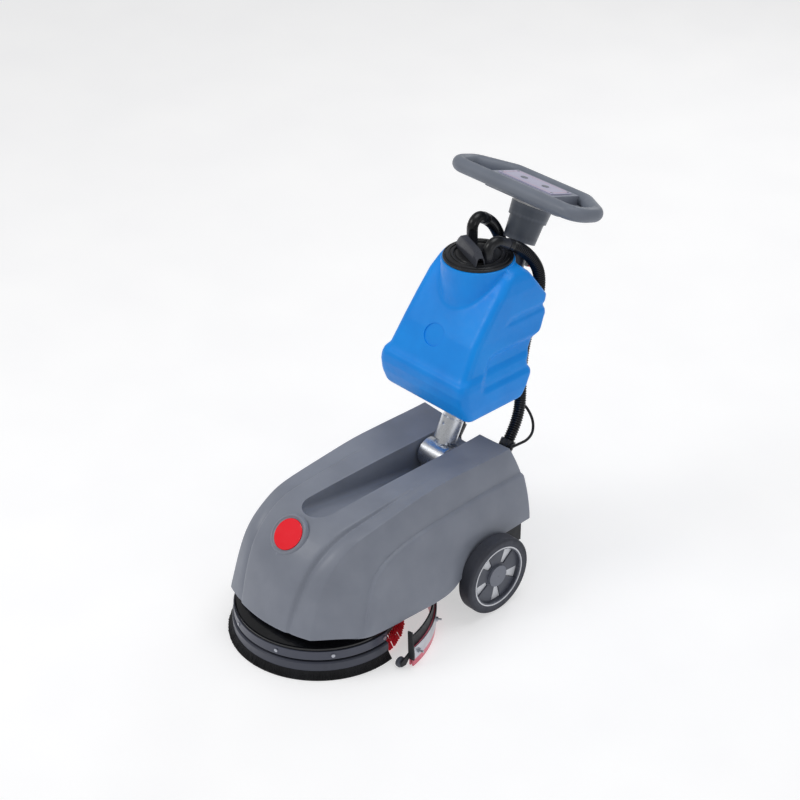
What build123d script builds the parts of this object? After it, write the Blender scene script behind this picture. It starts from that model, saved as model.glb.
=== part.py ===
from build123d import *
import os
from math import cos, radians, sin, tan

# Walk-behind floor scrubber. Millimetres, +Z up, operator at +Y, brush at the front (-Y).
# Origin: on the floor, under the middle of the machine's overall length.
# "right" in a name means the +X side.

os.makedirs("parts", exist_ok=True)

# ---- driving dimensions -------------------------------------------------------------
wheel_radius = 100.0
wheel_width = 40.0
wheel_outer_x = 258.0
wheel_back = 346.0
tyre_height = 20.0
rim_radius = wheel_radius - tyre_height
hub_cap_radius = 28.0
axle_radius = 10.0

brush_radius = 205.0
skirt_radius = 221.0
band_radius = 206.0
band_height = 23.0
band_top = 73.0
channel_height = 24.0
skirt_half_angle = 98.0

squeegee_half_width = 275.0
squeegee_radius = 284.0
squeegee_top = 62.0
blade_thickness = 4.0

shell_wall = 4.0
shell_floor = 105.0
shell_top = 348.0
shell_half_width = 236.0
trough_half_width = 44.0
trough_front = -35.0
trough_floor = 256.0

pivot_back = 392.0
pivot_height = 303.0
pole_lean = 27.7
knuckle_radius = 37.0
pivot_pin_radius = 8.0
collar_radius = 28.5
tube_radius = 25.0
tube_wall = 3.0
mast_radius = 21.0
neck_radius = 40.0
neck_collar_radius = 49.0
neck_start = 562.0

tank_half_width = 146.0
tank_bottom = 470.0
tank_top = 806.0
tank_wall = 4.0
tank_back = 42.0
lid_radius = 84.0
lid_back = 514.0
neck_opening_radius = 62.0

handle_back = 672.0
handle_height = 933.0
handle_lean = 17.0
handle_half_width = 200.0
handle_near = 48.0
handle_far = 92.0
grip_radius = 16.0
console_half_width = 122.0

hose_radius = 15.0
cable_radius = 3.5

plate_thickness = 4.0
plate_bottom = 112.0

# ---- named clearances ---------------------------------------------------------------
running = 0.05
slide_gap = 0.3
free_gap = 2.0
arch_gap = 5.0

# ---- placing ------------------------------------------------------------------------
rear_reach = handle_back + handle_far * cos(radians(handle_lean)) + grip_radius
brush_y = -(rear_reach - skirt_radius) / 2
floor_plane = Plane(origin=(0, brush_y, 0), x_dir=(1, 0, 0), z_dir=(0, 0, 1))
side_plane = Plane(origin=(0, brush_y, 0), x_dir=(0, 1, 0), z_dir=(1, 0, 0))
pole_plane = Plane(
    origin=(0, brush_y + pivot_back, pivot_height),
    x_dir=(1, 0, 0),
    z_dir=(0, sin(radians(pole_lean)), cos(radians(pole_lean))),
)
handle_plane = Plane(
    origin=(0, brush_y + handle_back, handle_height),
    x_dir=(1, 0, 0),
    z_dir=(0, sin(radians(handle_lean)), cos(radians(handle_lean))),
)


def save(builder, name):
    """Label a finished piece and write it."""
    builder.part.label = name
    export_step(builder.part, f"parts/{name}.step")


def level(height):
    """Floor plane lifted to a height."""
    return floor_plane.offset(height)


def along_pole(height):
    """Plane across the pole at a distance up it from the pivot."""
    return pole_plane.offset(height)


def pole_side(x):
    """Plane in which the pole leans: local x is rearwards, local y is up the pole."""
    return Plane(
        origin=(x, brush_y + pivot_back, pivot_height),
        x_dir=pole_plane.y_dir,
        z_dir=(1, 0, 0),
    )


# ---- body shell ---------------------------------------------------------------------
# height, front, shoulder line (x, back), side foot (x, back), side, rear
shell_levels = [
    (shell_floor, -184.0, (146.0, -155.0), (shell_half_width - 14, -62.0), shell_half_width, 497.0),
    (190.0, -160.0, (142.0, -130.0), (202.0, -36.0), 207.0, 503.0),
    (240.0, -136.0, (142.0, -112.0), (184.0, 6.0), 188.0, 511.0),
    (300.0, -98.0, (144.0, -52.0), (164.0, 60.0), 168.0, 502.0),
    (330.0, -56.0, (148.0, 40.0), (154.0, 110.0), 157.0, 494.0),
    (shell_top, -6.0, (147.0, 190.0), (149.5, 215.0), 151.0, 490.0),
]


def shell_outline(front, shoulder, foot, side, rear):
    """Closed plan outline of the shell at one height."""
    shoulder_x, shoulder_back = shoulder
    foot_x, foot_back = foot
    rear_corner = 26.0
    ThreePointArc((-shoulder_x, shoulder_back), (0, front), (shoulder_x, shoulder_back))
    Polyline(
        (shoulder_x, shoulder_back),
        (foot_x, foot_back),
        (side, foot_back + 90),
        (side, rear - rear_corner),
        (side - rear_corner, rear),
        (rear_corner - side, rear),
        (-side, rear - rear_corner),
        (-side, foot_back + 90),
        (-foot_x, foot_back),
        (-shoulder_x, shoulder_back),
    )


def shell_body(inset):
    """Solid inside the shell's outline, drawn in by an inset at every height."""
    with BuildPart() as body:
        for height, front, shoulder, foot, side, rear in shell_levels:
            bottom = height == shell_floor
            with BuildSketch(level(height - (0 if bottom else inset))):
                with BuildLine():
                    shell_outline(front, shoulder, foot, side, rear)
                make_face()
                if inset:
                    offset(amount=-inset, mode=Mode.REPLACE)
        loft(ruled=True)
    return body.part


def trough(half_width, drop):
    """Space of the trough that the folded pole lies in."""
    centre = trough_front + trough_half_width
    with BuildPart() as groove:
        with BuildSketch(level(trough_floor - 60)):
            with BuildLine():
                ThreePointArc((-half_width, centre), (0, centre - half_width), (half_width, centre))
                Polyline((half_width, centre), (half_width, 560), (-half_width, 560), (-half_width, centre))
            make_face()
        extrude(amount=260)
        with BuildSketch(side_plane):
            with BuildLine():
                Polyline(
                    (-90, 400),
                    (-90, 330 - drop),
                    (20, 304 - drop),
                    (330, trough_floor + 8 - drop),
                    (345, trough_floor - drop),
                    (446, trough_floor - drop),
                    (476, trough_floor + 30 - drop),
                    (560, trough_floor + 30 - drop),
                    (560, 400),
                    close=True,
                )
            make_face()
        extrude(amount=half_width + 1, both=True, mode=Mode.INTERSECT)
    return groove.part


badge_radius = 38.5
badge_ring_radius = 48.0
badge_lean = 44.0
badge_plane = Plane(
    origin=(0, brush_y - 93.0, 306.0),
    x_dir=(1, 0, 0),
    z_dir=(0, -sin(radians(badge_lean)), cos(radians(badge_lean))),
)
inlet_radius = 19.0
right_inlet = (98.0, 300.0)
left_inlet = (-70.0, 276.0)
gland_place = (124.0, 330.0)
rear_face = 503.0
fork_slot = (40.0, 346.0, 440.0)
outer_body = shell_body(0)
inner_body = shell_body(shell_wall)
outer_trough = trough(trough_half_width, 0)
inner_trough = trough(trough_half_width + shell_wall, shell_wall)

with BuildPart() as cavity:
    add(inner_body)
    add(inner_trough, mode=Mode.SUBTRACT)
    with BuildSketch(badge_plane.offset(-18)):
        Circle(badge_ring_radius + 5)
    extrude(amount=36, mode=Mode.SUBTRACT)

with BuildPart() as body_shell:
    add(outer_body)
    add(cavity.part, mode=Mode.SUBTRACT)
    add(outer_trough, mode=Mode.SUBTRACT)
    # underside: lifted over the wheels towards the rear
    with BuildSketch(side_plane):
        with BuildLine():
            Polyline((186, shell_floor - 20), (186, 107), (232, 112), (256, 128), (288, 153))
            Spline((288, 153), (325, 166), (417, 173))
            Polyline((417, 173), (560, 173), (560, shell_floor - 20), (186, shell_floor - 20))
        make_face()
    extrude(amount=300, both=True, mode=Mode.SUBTRACT)
    # room for the wheels beside the body
    for x in (wheel_outer_x - wheel_width - arch_gap, -300):
        with BuildSketch(side_plane.offset(x)):
            with Locations((wheel_back, wheel_radius)):
                Circle(wheel_radius + arch_gap)
        extrude(amount=300 - wheel_outer_x + wheel_width + arch_gap, mode=Mode.SUBTRACT)
    # slot in the trough floor for the pivot fork
    with BuildSketch(level(trough_floor - 20)):
        with Locations((0, (fork_slot[1] + fork_slot[2]) / 2)):
            Rectangle(2 * fork_slot[0], fork_slot[2] - fork_slot[1])
    extrude(amount=30, mode=Mode.SUBTRACT)
    # badge recess
    with BuildSketch(badge_plane.offset(-4)):
        Circle(badge_ring_radius)
    extrude(amount=40, mode=Mode.SUBTRACT)
    # hose and cable entries in the rear face
    with BuildSketch(Plane(origin=(0, brush_y + 480, 0), x_dir=(1, 0, 0), z_dir=(0, -1, 0))):
        with Locations(right_inlet, left_inlet):
            Circle(inlet_radius)
        with Locations(gland_place):
            Circle(cable_radius + 2)
    extrude(amount=-60, mode=Mode.SUBTRACT)
save(body_shell, "body_shell")

with BuildPart() as front_badge:
    with BuildSketch(badge_plane.offset(-4)):
        Circle(badge_radius)
    extrude(amount=3)
    fillet(faces().sort_by(Axis(badge_plane.origin, badge_plane.z_dir))[-1].edges(), 1)
save(front_badge, "front_badge")

# ---- chassis ------------------------------------------------------------------------
plate_top = plate_bottom + plate_thickness
tray_half_width = 196.0
tray_front = 200.0
tray_rear = 484.0
motor_hole_radius = 62.0
post_x = 165.0
frame_radius = 273.0
post_back = ((frame_radius - 8) ** 2 - post_x**2) ** 0.5
post_radius = 7.0
bracket_x = 160.0

with BuildPart() as chassis_tray:
    with BuildSketch(level(plate_bottom)):
        with BuildLine():
            Polyline(
                (-130, -110),
                (130, -110),
                (130, tray_front - 40),
                (tray_half_width, tray_front),
                (tray_half_width, tray_rear),
                (-tray_half_width, tray_rear),
                (-tray_half_width, tray_front),
                (-130, tray_front - 40),
                close=True,
            )
        make_face()
        Circle(motor_hole_radius, mode=Mode.SUBTRACT)
    extrude(amount=plate_thickness)
    # upturned edges, clear of the shell
    with BuildSketch(level(plate_top)):
        with Locations((tray_half_width - 2, 370), (2 - tray_half_width, 370)):
            Rectangle(plate_thickness, 2 * (tray_rear - 370))
        with Locations((0, tray_rear - 2)):
            Rectangle(2 * tray_half_width, plate_thickness)
    extrude(amount=62)
    # stay under the trough floor
    with BuildSketch(level(plate_top)):
        with Locations((0, fork_slot[2] + 3)):
            Rectangle(60, 4)
    extrude(amount=trough_floor - shell_wall - plate_top)
    # axle blocks
    with BuildSketch(level(plate_bottom)):
        with Locations((bracket_x, wheel_back), (-bracket_x, wheel_back)):
            Rectangle(20, 44)
    extrude(amount=plate_bottom - wheel_radius + 16, dir=(0, 0, -1))
    with BuildSketch(Plane(origin=(-300, brush_y + wheel_back, wheel_radius), x_dir=(0, 1, 0), z_dir=(1, 0, 0))):
        Circle(axle_radius)
    extrude(amount=600, mode=Mode.SUBTRACT)
    # guide bushes for the squeegee posts
    with BuildSketch(level(plate_bottom - 6)):
        with Locations((post_x, post_back), (-post_x, post_back)):
            Circle(post_radius + 6)
    extrude(amount=36)
    with BuildSketch(level(plate_bottom - 20)):
        with Locations((post_x, post_back), (-post_x, post_back)):
            Circle(post_radius + running)
    extrude(amount=80, mode=Mode.SUBTRACT)
save(chassis_tray, "chassis_tray")

axle_half_length = wheel_outer_x - 12
with BuildPart() as axle:
    with BuildSketch(
        Plane(origin=(-axle_half_length, brush_y + wheel_back, wheel_radius), x_dir=(0, 1, 0), z_dir=(1, 0, 0))
    ):
        Circle(axle_radius)
    extrude(amount=2 * axle_half_length)
save(axle, "axle")

# ---- brush deck and skirt -----------------------------------------------------------


def front_ring(profile, half_angle):
    """Ring about the brush axis from (radius, height) points, centred on the front."""
    start = radians(-half_angle)
    out = Vector(sin(start), -cos(start), 0)
    with BuildPart() as ring:
        with BuildSketch(Plane(origin=(0, brush_y, 0), x_dir=out, z_dir=out.cross(Vector(0, 0, 1)))):
            with BuildLine():
                Polyline(*profile, close=True)
            make_face()
        revolve(axis=Axis((0, brush_y, 0), (0, 0, 1)), revolution_arc=2 * half_angle)
    return ring.part


deck_rim = band_radius - 3.0
deck_top = plate_bottom
band_bottom = band_top - band_height
channel_bottom = 20.5
channel_top = channel_bottom + channel_height
with BuildPart() as brush_deck:
    add(
        front_ring(
            [
                (motor_hole_radius, deck_top),
                (126, deck_top),
                (deck_rim - 4, band_top + 8),
                (deck_rim - 4, band_top + 4),
                (124, deck_top - 4),
                (motor_hole_radius, deck_top - 4),
            ],
            180,
        )
    )
    add(
        front_ring(
            [
                (deck_rim - 5, band_top + 7),
                (deck_rim, band_top + 7),
                (deck_rim, channel_bottom + 2),
                (deck_rim - 3, channel_bottom + 2),
                (deck_rim - 3, band_top + 2),
                (deck_rim - 5, band_top + 4),
            ],
            skirt_half_angle,
        )
    )
save(brush_deck, "brush_deck")

with BuildPart() as skirt_band:
    add(
        front_ring(
            [
                (deck_rim, band_bottom),
                (band_radius, band_bottom),
                (band_radius, band_top),
                (deck_rim, band_top),
            ],
            skirt_half_angle,
        )
    )
save(skirt_band, "skirt_band")

channel_radius = band_radius + 4
with BuildPart() as skirt_channel:
    add(
        front_ring(
            [
                (deck_rim, channel_bottom + 6),
                (channel_radius - 2.5, channel_bottom + 6),
                (channel_radius - 2.5, channel_bottom),
                (channel_radius, channel_bottom),
                (channel_radius, channel_top - 3),
                (channel_radius - 3, channel_top),
                (deck_rim, channel_top),
            ],
            skirt_half_angle,
        )
    )
save(skirt_channel, "skirt_channel")

bristle_tip = 1.0
with BuildPart() as skirt_bristles:
    add(
        front_ring(
            [
                (deck_rim + 1, channel_bottom + 6),
                (channel_radius - 2.5, channel_bottom + 6),
                (channel_radius - 2.5, channel_bottom),
                (skirt_radius, bristle_tip),
                (skirt_radius - 10, bristle_tip),
                (deck_rim + 1, channel_bottom),
            ],
            skirt_half_angle,
        )
    )
save(skirt_bristles, "skirt_bristles")

screw_step = 38.0
screw_angles = [screw_step * (i - 2.5) for i in range(6)]
with BuildPart() as band_screws:
    for angle in screw_angles:
        out = Vector(sin(radians(angle)), -cos(radians(angle)), 0)
        centre = Vector(0, brush_y, band_bottom + band_height / 2) + out * band_radius
        with BuildSketch(Plane(origin=centre, z_dir=out)):
            Circle(4.5)
        extrude(amount=2.5)
save(band_screws, "band_screws")

# ---- brush and its drive ------------------------------------------------------------
shaft_radius = 10.0
shaft_top = 152.0
block_bottom = 30.0
block_top = 46.0
gearbox_top = 166.0
motor_top = 282.0

with BuildPart() as brush_motor:
    with BuildSketch(level(plate_bottom - 8)):
        Circle(motor_hole_radius - free_gap)
    extrude(amount=plate_thickness + 8)
    with BuildSketch(level(plate_top)):
        Circle(74)
    extrude(amount=gearbox_top - plate_top)
    fillet(faces().sort_by(Axis.Z)[-1].edges(), 6)
    with BuildSketch(level(gearbox_top)):
        Circle(54)
    extrude(amount=motor_top - gearbox_top)
    fillet(faces().sort_by(Axis.Z)[-1].edges(), 10)
    with BuildSketch(level(plate_bottom - 20)):
        Circle(shaft_radius + running)
    extrude(amount=shaft_top + 1 - plate_bottom + 20, mode=Mode.SUBTRACT)
save(brush_motor, "brush_motor")

with BuildPart() as drive_shaft:
    with BuildSketch(level(block_top - 12)):
        Circle(shaft_radius)
    extrude(amount=shaft_top - block_top + 12)
save(drive_shaft, "drive_shaft")

with BuildPart() as driver_plate:
    with BuildSketch(level(block_top)):
        Circle(80)
        Circle(shaft_radius, mode=Mode.SUBTRACT)
    extrude(amount=8)
    with BuildSketch(level(block_top + 8)):
        Circle(24)
        Circle(shaft_radius, mode=Mode.SUBTRACT)
    extrude(amount=22)
save(driver_plate, "driver_plate")

block_radius = brush_radius - 22
with BuildPart() as brush_block:
    with BuildSketch(level(block_bottom)):
        Circle(block_radius)
        Circle(shaft_radius, mode=Mode.SUBTRACT)
    extrude(amount=block_top - block_bottom)
    with BuildSketch(level(block_bottom - 1)):
        Circle(50)
    extrude(amount=5, mode=Mode.SUBTRACT)
save(brush_block, "brush_block")

with BuildPart() as brush_bristles:
    add(
        front_ring(
            [
                (70, block_bottom),
                (block_radius - 2, block_bottom),
                (brush_radius, 0),
                (62, 0),
            ],
            180,
        )
    )
save(brush_bristles, "brush_bristles")

# ---- batteries, suction and control -------------------------------------------------
battery_width = 122.0
battery_length = 172.0
battery_height = 120.0
battery_centre = (75.0, 238.0)
with BuildPart() as batteries:
    with BuildSketch(level(plate_top)):
        with Locations(battery_centre, (-battery_centre[0], battery_centre[1])):
            RectangleRounded(battery_width, battery_length, 6)
    extrude(amount=battery_height)
    with BuildSketch(level(plate_top + battery_height)):
        with Locations(battery_centre, (-battery_centre[0], battery_centre[1])):
            with GridLocations(70, 130, 2, 2):
                Circle(6)
    extrude(amount=7)
save(batteries, "batteries")

strap_half_width = battery_centre[0] + battery_width / 2
with BuildPart() as battery_strap:
    with BuildSketch(Plane(origin=(0, brush_y + battery_centre[1] + 14, 0), x_dir=(1, 0, 0), z_dir=(0, -1, 0))):
        with BuildLine():
            Polyline(
                (-strap_half_width - 12, plate_top),
                (-strap_half_width - 12, plate_top + 2),
                (-strap_half_width - 2, plate_top + 2),
                (-strap_half_width - 2, plate_top + battery_height + 2),
                (strap_half_width + 2, plate_top + battery_height + 2),
                (strap_half_width + 2, plate_top + 2),
                (strap_half_width + 12, plate_top + 2),
                (strap_half_width + 12, plate_top),
                (strap_half_width, plate_top),
                (strap_half_width, plate_top + battery_height),
                (-strap_half_width, plate_top + battery_height),
                (-strap_half_width, plate_top),
                close=True,
            )
        make_face()
    extrude(amount=28)
save(battery_strap, "battery_strap")

vacuum_centre = (100.0, 422.0)
vacuum_radius = 50.0
fan_radius = vacuum_radius - 8
with BuildPart() as vacuum_motor:
    with BuildSketch(level(plate_top)):
        with Locations(vacuum_centre):
            Circle(vacuum_radius)
    extrude(amount=96)
    fillet(faces().sort_by(Axis.Z)[-1].edges(), 8)
    # fan chamber, open to the duct stub on top
    with BuildSketch(level(plate_top + 56)):
        with Locations(vacuum_centre):
            Circle(fan_radius + free_gap)
    extrude(amount=28, mode=Mode.SUBTRACT)
    with BuildSketch(level(plate_top + 40)):
        with Locations(vacuum_centre):
            Circle(6 + running)
    extrude(amount=20, mode=Mode.SUBTRACT)
    with BuildSketch(level(plate_top + 80)):
        with Locations(vacuum_centre):
            Circle(16)
    extrude(amount=20, mode=Mode.SUBTRACT)
save(vacuum_motor, "vacuum_motor")

with BuildPart() as fan_impeller:
    with BuildSketch(level(plate_top + 60)):
        with Locations(vacuum_centre):
            Circle(fan_radius)
    extrude(amount=3)
    with BuildSketch(level(plate_top + 63)):
        with Locations(vacuum_centre):
            with PolarLocations(24, 8):
                Rectangle(26, 2)
    extrude(amount=14)
    with BuildSketch(level(plate_top + 42)):
        with Locations(vacuum_centre):
            Circle(6)
    extrude(amount=18)
save(fan_impeller, "fan_impeller")

with BuildPart() as controller_box:
    with BuildSketch(level(plate_top)):
        with Locations((-105, 415)):
            RectangleRounded(96, 100, 5)
    extrude(amount=58)
    with BuildSketch(level(plate_top + 58)):
        with Locations((-105, 415)):
            with GridLocations(12, 1, 7, 1):
                Rectangle(4, 90)
    extrude(amount=14)
save(controller_box, "controller_box")

# ---- pivot fork ---------------------------------------------------------------------
knuckle_half_width = 18.0
ear_outer_x = 36.0
ear_inner_x = knuckle_half_width + slide_gap
with BuildPart() as pivot_fork:
    with BuildSketch(level(plate_top)):
        with Locations((0, pivot_back)):
            RectangleRounded(2 * ear_outer_x + 22, 84, 8)
    extrude(amount=8)
    for x in (ear_inner_x, -ear_outer_x):
        with BuildSketch(side_plane.offset(x)):
            with BuildLine():
                Polyline(
                    (pivot_back - 26, plate_top + 4),
                    (pivot_back + 26, plate_top + 4),
                    (pivot_back + 26, pivot_height),
                    (pivot_back - 26, pivot_height),
                    close=True,
                )
            make_face()
            with Locations((pivot_back, pivot_height)):
                Circle(knuckle_radius)
        extrude(amount=ear_outer_x - ear_inner_x)
    with BuildSketch(side_plane.offset(-60)):
        with Locations((pivot_back, pivot_height)):
            Circle(pivot_pin_radius)
    extrude(amount=120, mode=Mode.SUBTRACT)
save(pivot_fork, "pivot_fork")

with BuildPart() as pivot_pin:
    with BuildSketch(side_plane.offset(-ear_outer_x)):
        with Locations((pivot_back, pivot_height)):
            Circle(pivot_pin_radius)
    extrude(amount=2 * ear_outer_x)
    for x in (ear_outer_x, -ear_outer_x - 4):
        with BuildSketch(side_plane.offset(x)):
            with Locations((pivot_back, pivot_height)):
                Circle(pivot_pin_radius + 6)
        extrude(amount=4)
save(pivot_pin, "pivot_pin")

# ---- rear fittings ------------------------------------------------------------------
inlet_lean = 55.0
flange_back = rear_face + 9
flange_thickness = 4.0
spigot_length = 40.0


def rear_spot(place, back, lean=0.0):
    """Plane on the rear face: local z points out of the machine, leaning up."""
    return Plane(
        origin=(place[0], brush_y + back, place[1]),
        x_dir=(1, 0, 0),
        z_dir=(0, cos(radians(lean)), sin(radians(lean))),
    )


with BuildPart() as hose_inlets:
    for place in (right_inlet, left_inlet):
        with BuildSketch(rear_spot(place, flange_back, inlet_lean).offset(-spigot_length)):
            Circle(inlet_radius)
        extrude(amount=2 * spigot_length)
    with BuildSketch(Plane(origin=(0, brush_y + flange_back - 100, 300), x_dir=(1, 0, 0), z_dir=(0, 1, 0))):
        Rectangle(500, 500)
    extrude(amount=100, mode=Mode.SUBTRACT)
    for place in (right_inlet, left_inlet):
        with BuildSketch(rear_spot(place, flange_back)):
            Circle(inlet_radius + 6)
        extrude(amount=flange_thickness)
        with BuildSketch(rear_spot(place, rear_face - 26)):
            Circle(inlet_radius)
        extrude(amount=flange_back - rear_face + 26)
        with BuildSketch(rear_spot(place, rear_face - 26)):
            Circle(hose_radius - 1)
        extrude(amount=flange_back - rear_face + 26 + flange_thickness, mode=Mode.SUBTRACT)
        with BuildSketch(rear_spot(place, flange_back, inlet_lean).offset(12)):
            Circle(hose_radius + slide_gap)
        extrude(amount=spigot_length, mode=Mode.SUBTRACT)
save(hose_inlets, "hose_inlets")

with BuildPart() as cable_gland:
    with BuildSketch(rear_spot(gland_place, rear_face - 14)):
        Circle(cable_radius + 2)
    extrude(amount=24)
    with BuildSketch(rear_spot(gland_place, rear_face + 4)):
        RegularPolygon(9, 6)
    extrude(amount=6)
    with BuildSketch(rear_spot(gland_place, rear_face - 15)):
        Circle(cable_radius + slide_gap)
    extrude(amount=30, mode=Mode.SUBTRACT)
save(cable_gland, "cable_gland")

# ---- wheels -------------------------------------------------------------------------
bearing_radius = 16.0
bearing_width = 8.0
wheel_inner_x = wheel_outer_x - wheel_width
hub_inner_x = wheel_inner_x + 4
hub_outer_x = axle_half_length + 1
web_inner_x = wheel_outer_x - 20
web_outer_x = wheel_outer_x - 10
inlay_depth = 3.0


def wheel_side(x):
    """Plane across a wheel: local x is rearwards, local y is up, centred on the axle."""
    return Plane(origin=(x, brush_y + wheel_back, wheel_radius), x_dir=(0, 1, 0), z_dir=(1, 0, 0))


def wheel_ring(outer, inner, x_from, x_to):
    """Plain ring about the axle between two distances from the middle of the machine."""
    with BuildPart() as ring:
        with BuildSketch(wheel_side(x_from)):
            Circle(outer)
            Circle(inner, mode=Mode.SUBTRACT)
        extrude(amount=x_to - x_from)
    return ring.part


def both_sides(piece, name):
    """Write a right-hand wheel piece and its mirror image."""
    for side, body in (("right", piece), ("left", mirror(piece, about=Plane.YZ))):
        body.label = f"{name}_{side}"
        export_step(body, f"parts/{name}_{side}.step")


with BuildPart() as tyre:
    add(wheel_ring(wheel_radius, rim_radius, wheel_inner_x, wheel_outer_x))
    outer_edges = edges().filter_by(GeomType.CIRCLE).group_by(SortBy.RADIUS)[-1]
    fillet(outer_edges, 7)
both_sides(tyre.part, "tyre")

window_inner = hub_cap_radius + 5
window_outer = rim_radius - 8


def wheel_window(margin):
    """Tapered window between two spokes, drawn in by a margin."""
    with BuildSketch(Plane.XY) as window:
        with BuildLine():
            Polyline(
                (window_inner + margin, 7 - margin),
                (window_outer - margin, 17 - margin),
                (window_outer - margin, margin - 17),
                (window_inner + margin, margin - 7),
                close=True,
            )
        make_face()
    return window.sketch


with BuildPart() as rim:
    add(wheel_ring(rim_radius, rim_radius - 7, wheel_inner_x + 3, wheel_outer_x - 2))
    add(wheel_ring(rim_radius - 6, bearing_radius + 4, web_inner_x, web_outer_x))
    add(wheel_ring(bearing_radius + 6, bearing_radius, hub_inner_x, hub_outer_x))
    with BuildSketch(wheel_side(web_inner_x + inlay_depth)):
        with PolarLocations(0, 5, start_angle=54):
            add(wheel_window(0))
    extrude(amount=30, mode=Mode.SUBTRACT)
both_sides(rim.part, "rim")

with BuildPart() as wheel_trim:
    add(wheel_ring(rim_radius - 1, rim_radius - 4, wheel_outer_x - 2, wheel_outer_x - 0.5))
    with BuildSketch(wheel_side(web_inner_x + inlay_depth)):
        with PolarLocations(0, 5, start_angle=54):
            add(wheel_window(0.5))
    extrude(amount=3)
both_sides(wheel_trim.part, "wheel_trim")
both_sides(wheel_ring(hub_cap_radius, 1, web_outer_x, wheel_outer_x - 3), "hub_cap")

with BuildPart() as bearings:
    add(wheel_ring(bearing_radius, axle_radius + running, hub_inner_x, hub_inner_x + bearing_width))
    add(wheel_ring(bearing_radius, axle_radius + running, hub_outer_x - bearing_width, hub_outer_x))
both_sides(bearings.part, "wheel_bearings")

# ---- squeegee -----------------------------------------------------------------------
blade_inner = frame_radius
squeegee_half_angle = 80.0
frame_top = 84.0
frame_bottom = 38.0
blade_top = 52.0


def rear_ring(profile, half_angle):
    """Ring about the brush axis from (radius, height) points, centred on the rear."""
    start = radians(-half_angle)
    out = Vector(-sin(start), cos(start), 0)
    with BuildPart() as ring:
        with BuildSketch(Plane(origin=(0, brush_y, 0), x_dir=out, z_dir=out.cross(Vector(0, 0, 1)))):
            with BuildLine():
                Polyline(*profile, close=True)
            make_face()
        revolve(axis=Axis((0, brush_y, 0), (0, 0, 1)), revolution_arc=2 * half_angle)
    return ring.part


def rear_strip(inner, outer, bottom, top, half_angle):
    """Rectangular strip curving behind the brush."""
    return rear_ring([(inner, bottom), (outer, bottom), (outer, top), (inner, top)], half_angle)


end_angle = radians(squeegee_half_angle)
end_plane = Plane(
    origin=(0, brush_y, 0),
    x_dir=(sin(end_angle), cos(end_angle), 0),
    z_dir=(cos(end_angle), -sin(end_angle), 0),
)
roller_radius = 13.0
roller_width = 10.0
roller_x = 252.0
roller_back = 26.0
with BuildPart() as squeegee_frame:
    add(rear_strip(frame_radius - 4, frame_radius, frame_bottom, frame_top, squeegee_half_angle))
    # posts that slide in the tray's bushes
    with BuildSketch(level(blade_top + 2)):
        with Locations((post_x, post_back)):
            Circle(post_radius)
    extrude(amount=100)
    # end plate, roller arm and roller pin
    with BuildSketch(end_plane):
        with BuildLine():
            Polyline(
                (frame_radius - 8, frame_bottom - 18),
                (frame_radius + 8, frame_bottom - 18),
                (frame_radius + 8, frame_bottom),
                (frame_radius + 2, frame_top + 14),
                (frame_radius - 10, frame_top + 14),
                close=True,
            )
        make_face()
    extrude(amount=4)
    with BuildSketch(side_plane.offset(roller_x + 8)):
        with BuildLine():
            Polyline(
                (roller_back - 7, roller_radius - 6),
                (roller_back + 7, roller_radius - 6),
                (44, frame_bottom - 16),
                (44, frame_bottom - 2),
                (roller_back - 7, roller_radius + 8),
                close=True,
            )
        make_face()
    extrude(amount=4)
    with BuildSketch(side_plane.offset(roller_x + 9)):
        with Locations((roller_back, roller_radius)):
            Circle(4)
    extrude(amount=-17)
    mirror(about=Plane.YZ)
save(squeegee_frame, "squeegee_frame")

with BuildPart() as squeegee_front_blade:
    add(rear_strip(frame_radius - 4 - blade_thickness, frame_radius - 4, 0, blade_top, squeegee_half_angle))
save(squeegee_front_blade, "squeegee_front_blade")

with BuildPart() as squeegee_rear_blade:
    add(rear_strip(frame_radius, frame_radius + blade_thickness, 0, blade_top, squeegee_half_angle))
save(squeegee_rear_blade, "squeegee_rear_blade")

strip_inner = frame_radius + blade_thickness
strip_outer = strip_inner + 2
with BuildPart() as squeegee_clamp_strip:
    add(rear_strip(strip_inner, strip_outer, 20, blade_top + 2, squeegee_half_angle))
save(squeegee_clamp_strip, "squeegee_clamp_strip")

wing_nut_angles = (-76, -50, -18, 18, 50, 76)
with BuildPart() as squeegee_wing_nuts:
    for angle in wing_nut_angles:
        out = Vector(sin(radians(angle)), cos(radians(angle)), 0)
        centre = Vector(0, brush_y, (blade_top + 20) / 2) + out * strip_outer
        with BuildSketch(Plane(origin=centre, z_dir=out)):
            Circle(6)
        extrude(amount=5)
        with BuildSketch(Plane(origin=centre + out * 5, z_dir=out)):
            Circle(2.5)
        extrude(amount=8)
save(squeegee_wing_nuts, "squeegee_wing_nuts")

for side, sign in (("right", 1), ("left", -1)):
    with BuildPart() as roller:
        with BuildSketch(side_plane.offset(sign * roller_x - roller_width / 2)):
            with Locations((roller_back, roller_radius)):
                Circle(roller_radius)
                Circle(4 + running, mode=Mode.SUBTRACT)
        extrude(amount=roller_width)
        fillet(edges().filter_by(GeomType.CIRCLE).group_by(SortBy.RADIUS)[-1], 2)
    save(roller, f"squeegee_roller_{side}")

# ---- pole ---------------------------------------------------------------------------
collar_bottom = 44.0
collar_top = 102.0
tube_top = 492.0
clamp_bottom = 476.0
clamp_top = 532.0
clamp_radius = 33.0
knob_height = 513.0
knob_reach = 82.0
mast_bottom = 330.0

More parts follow.
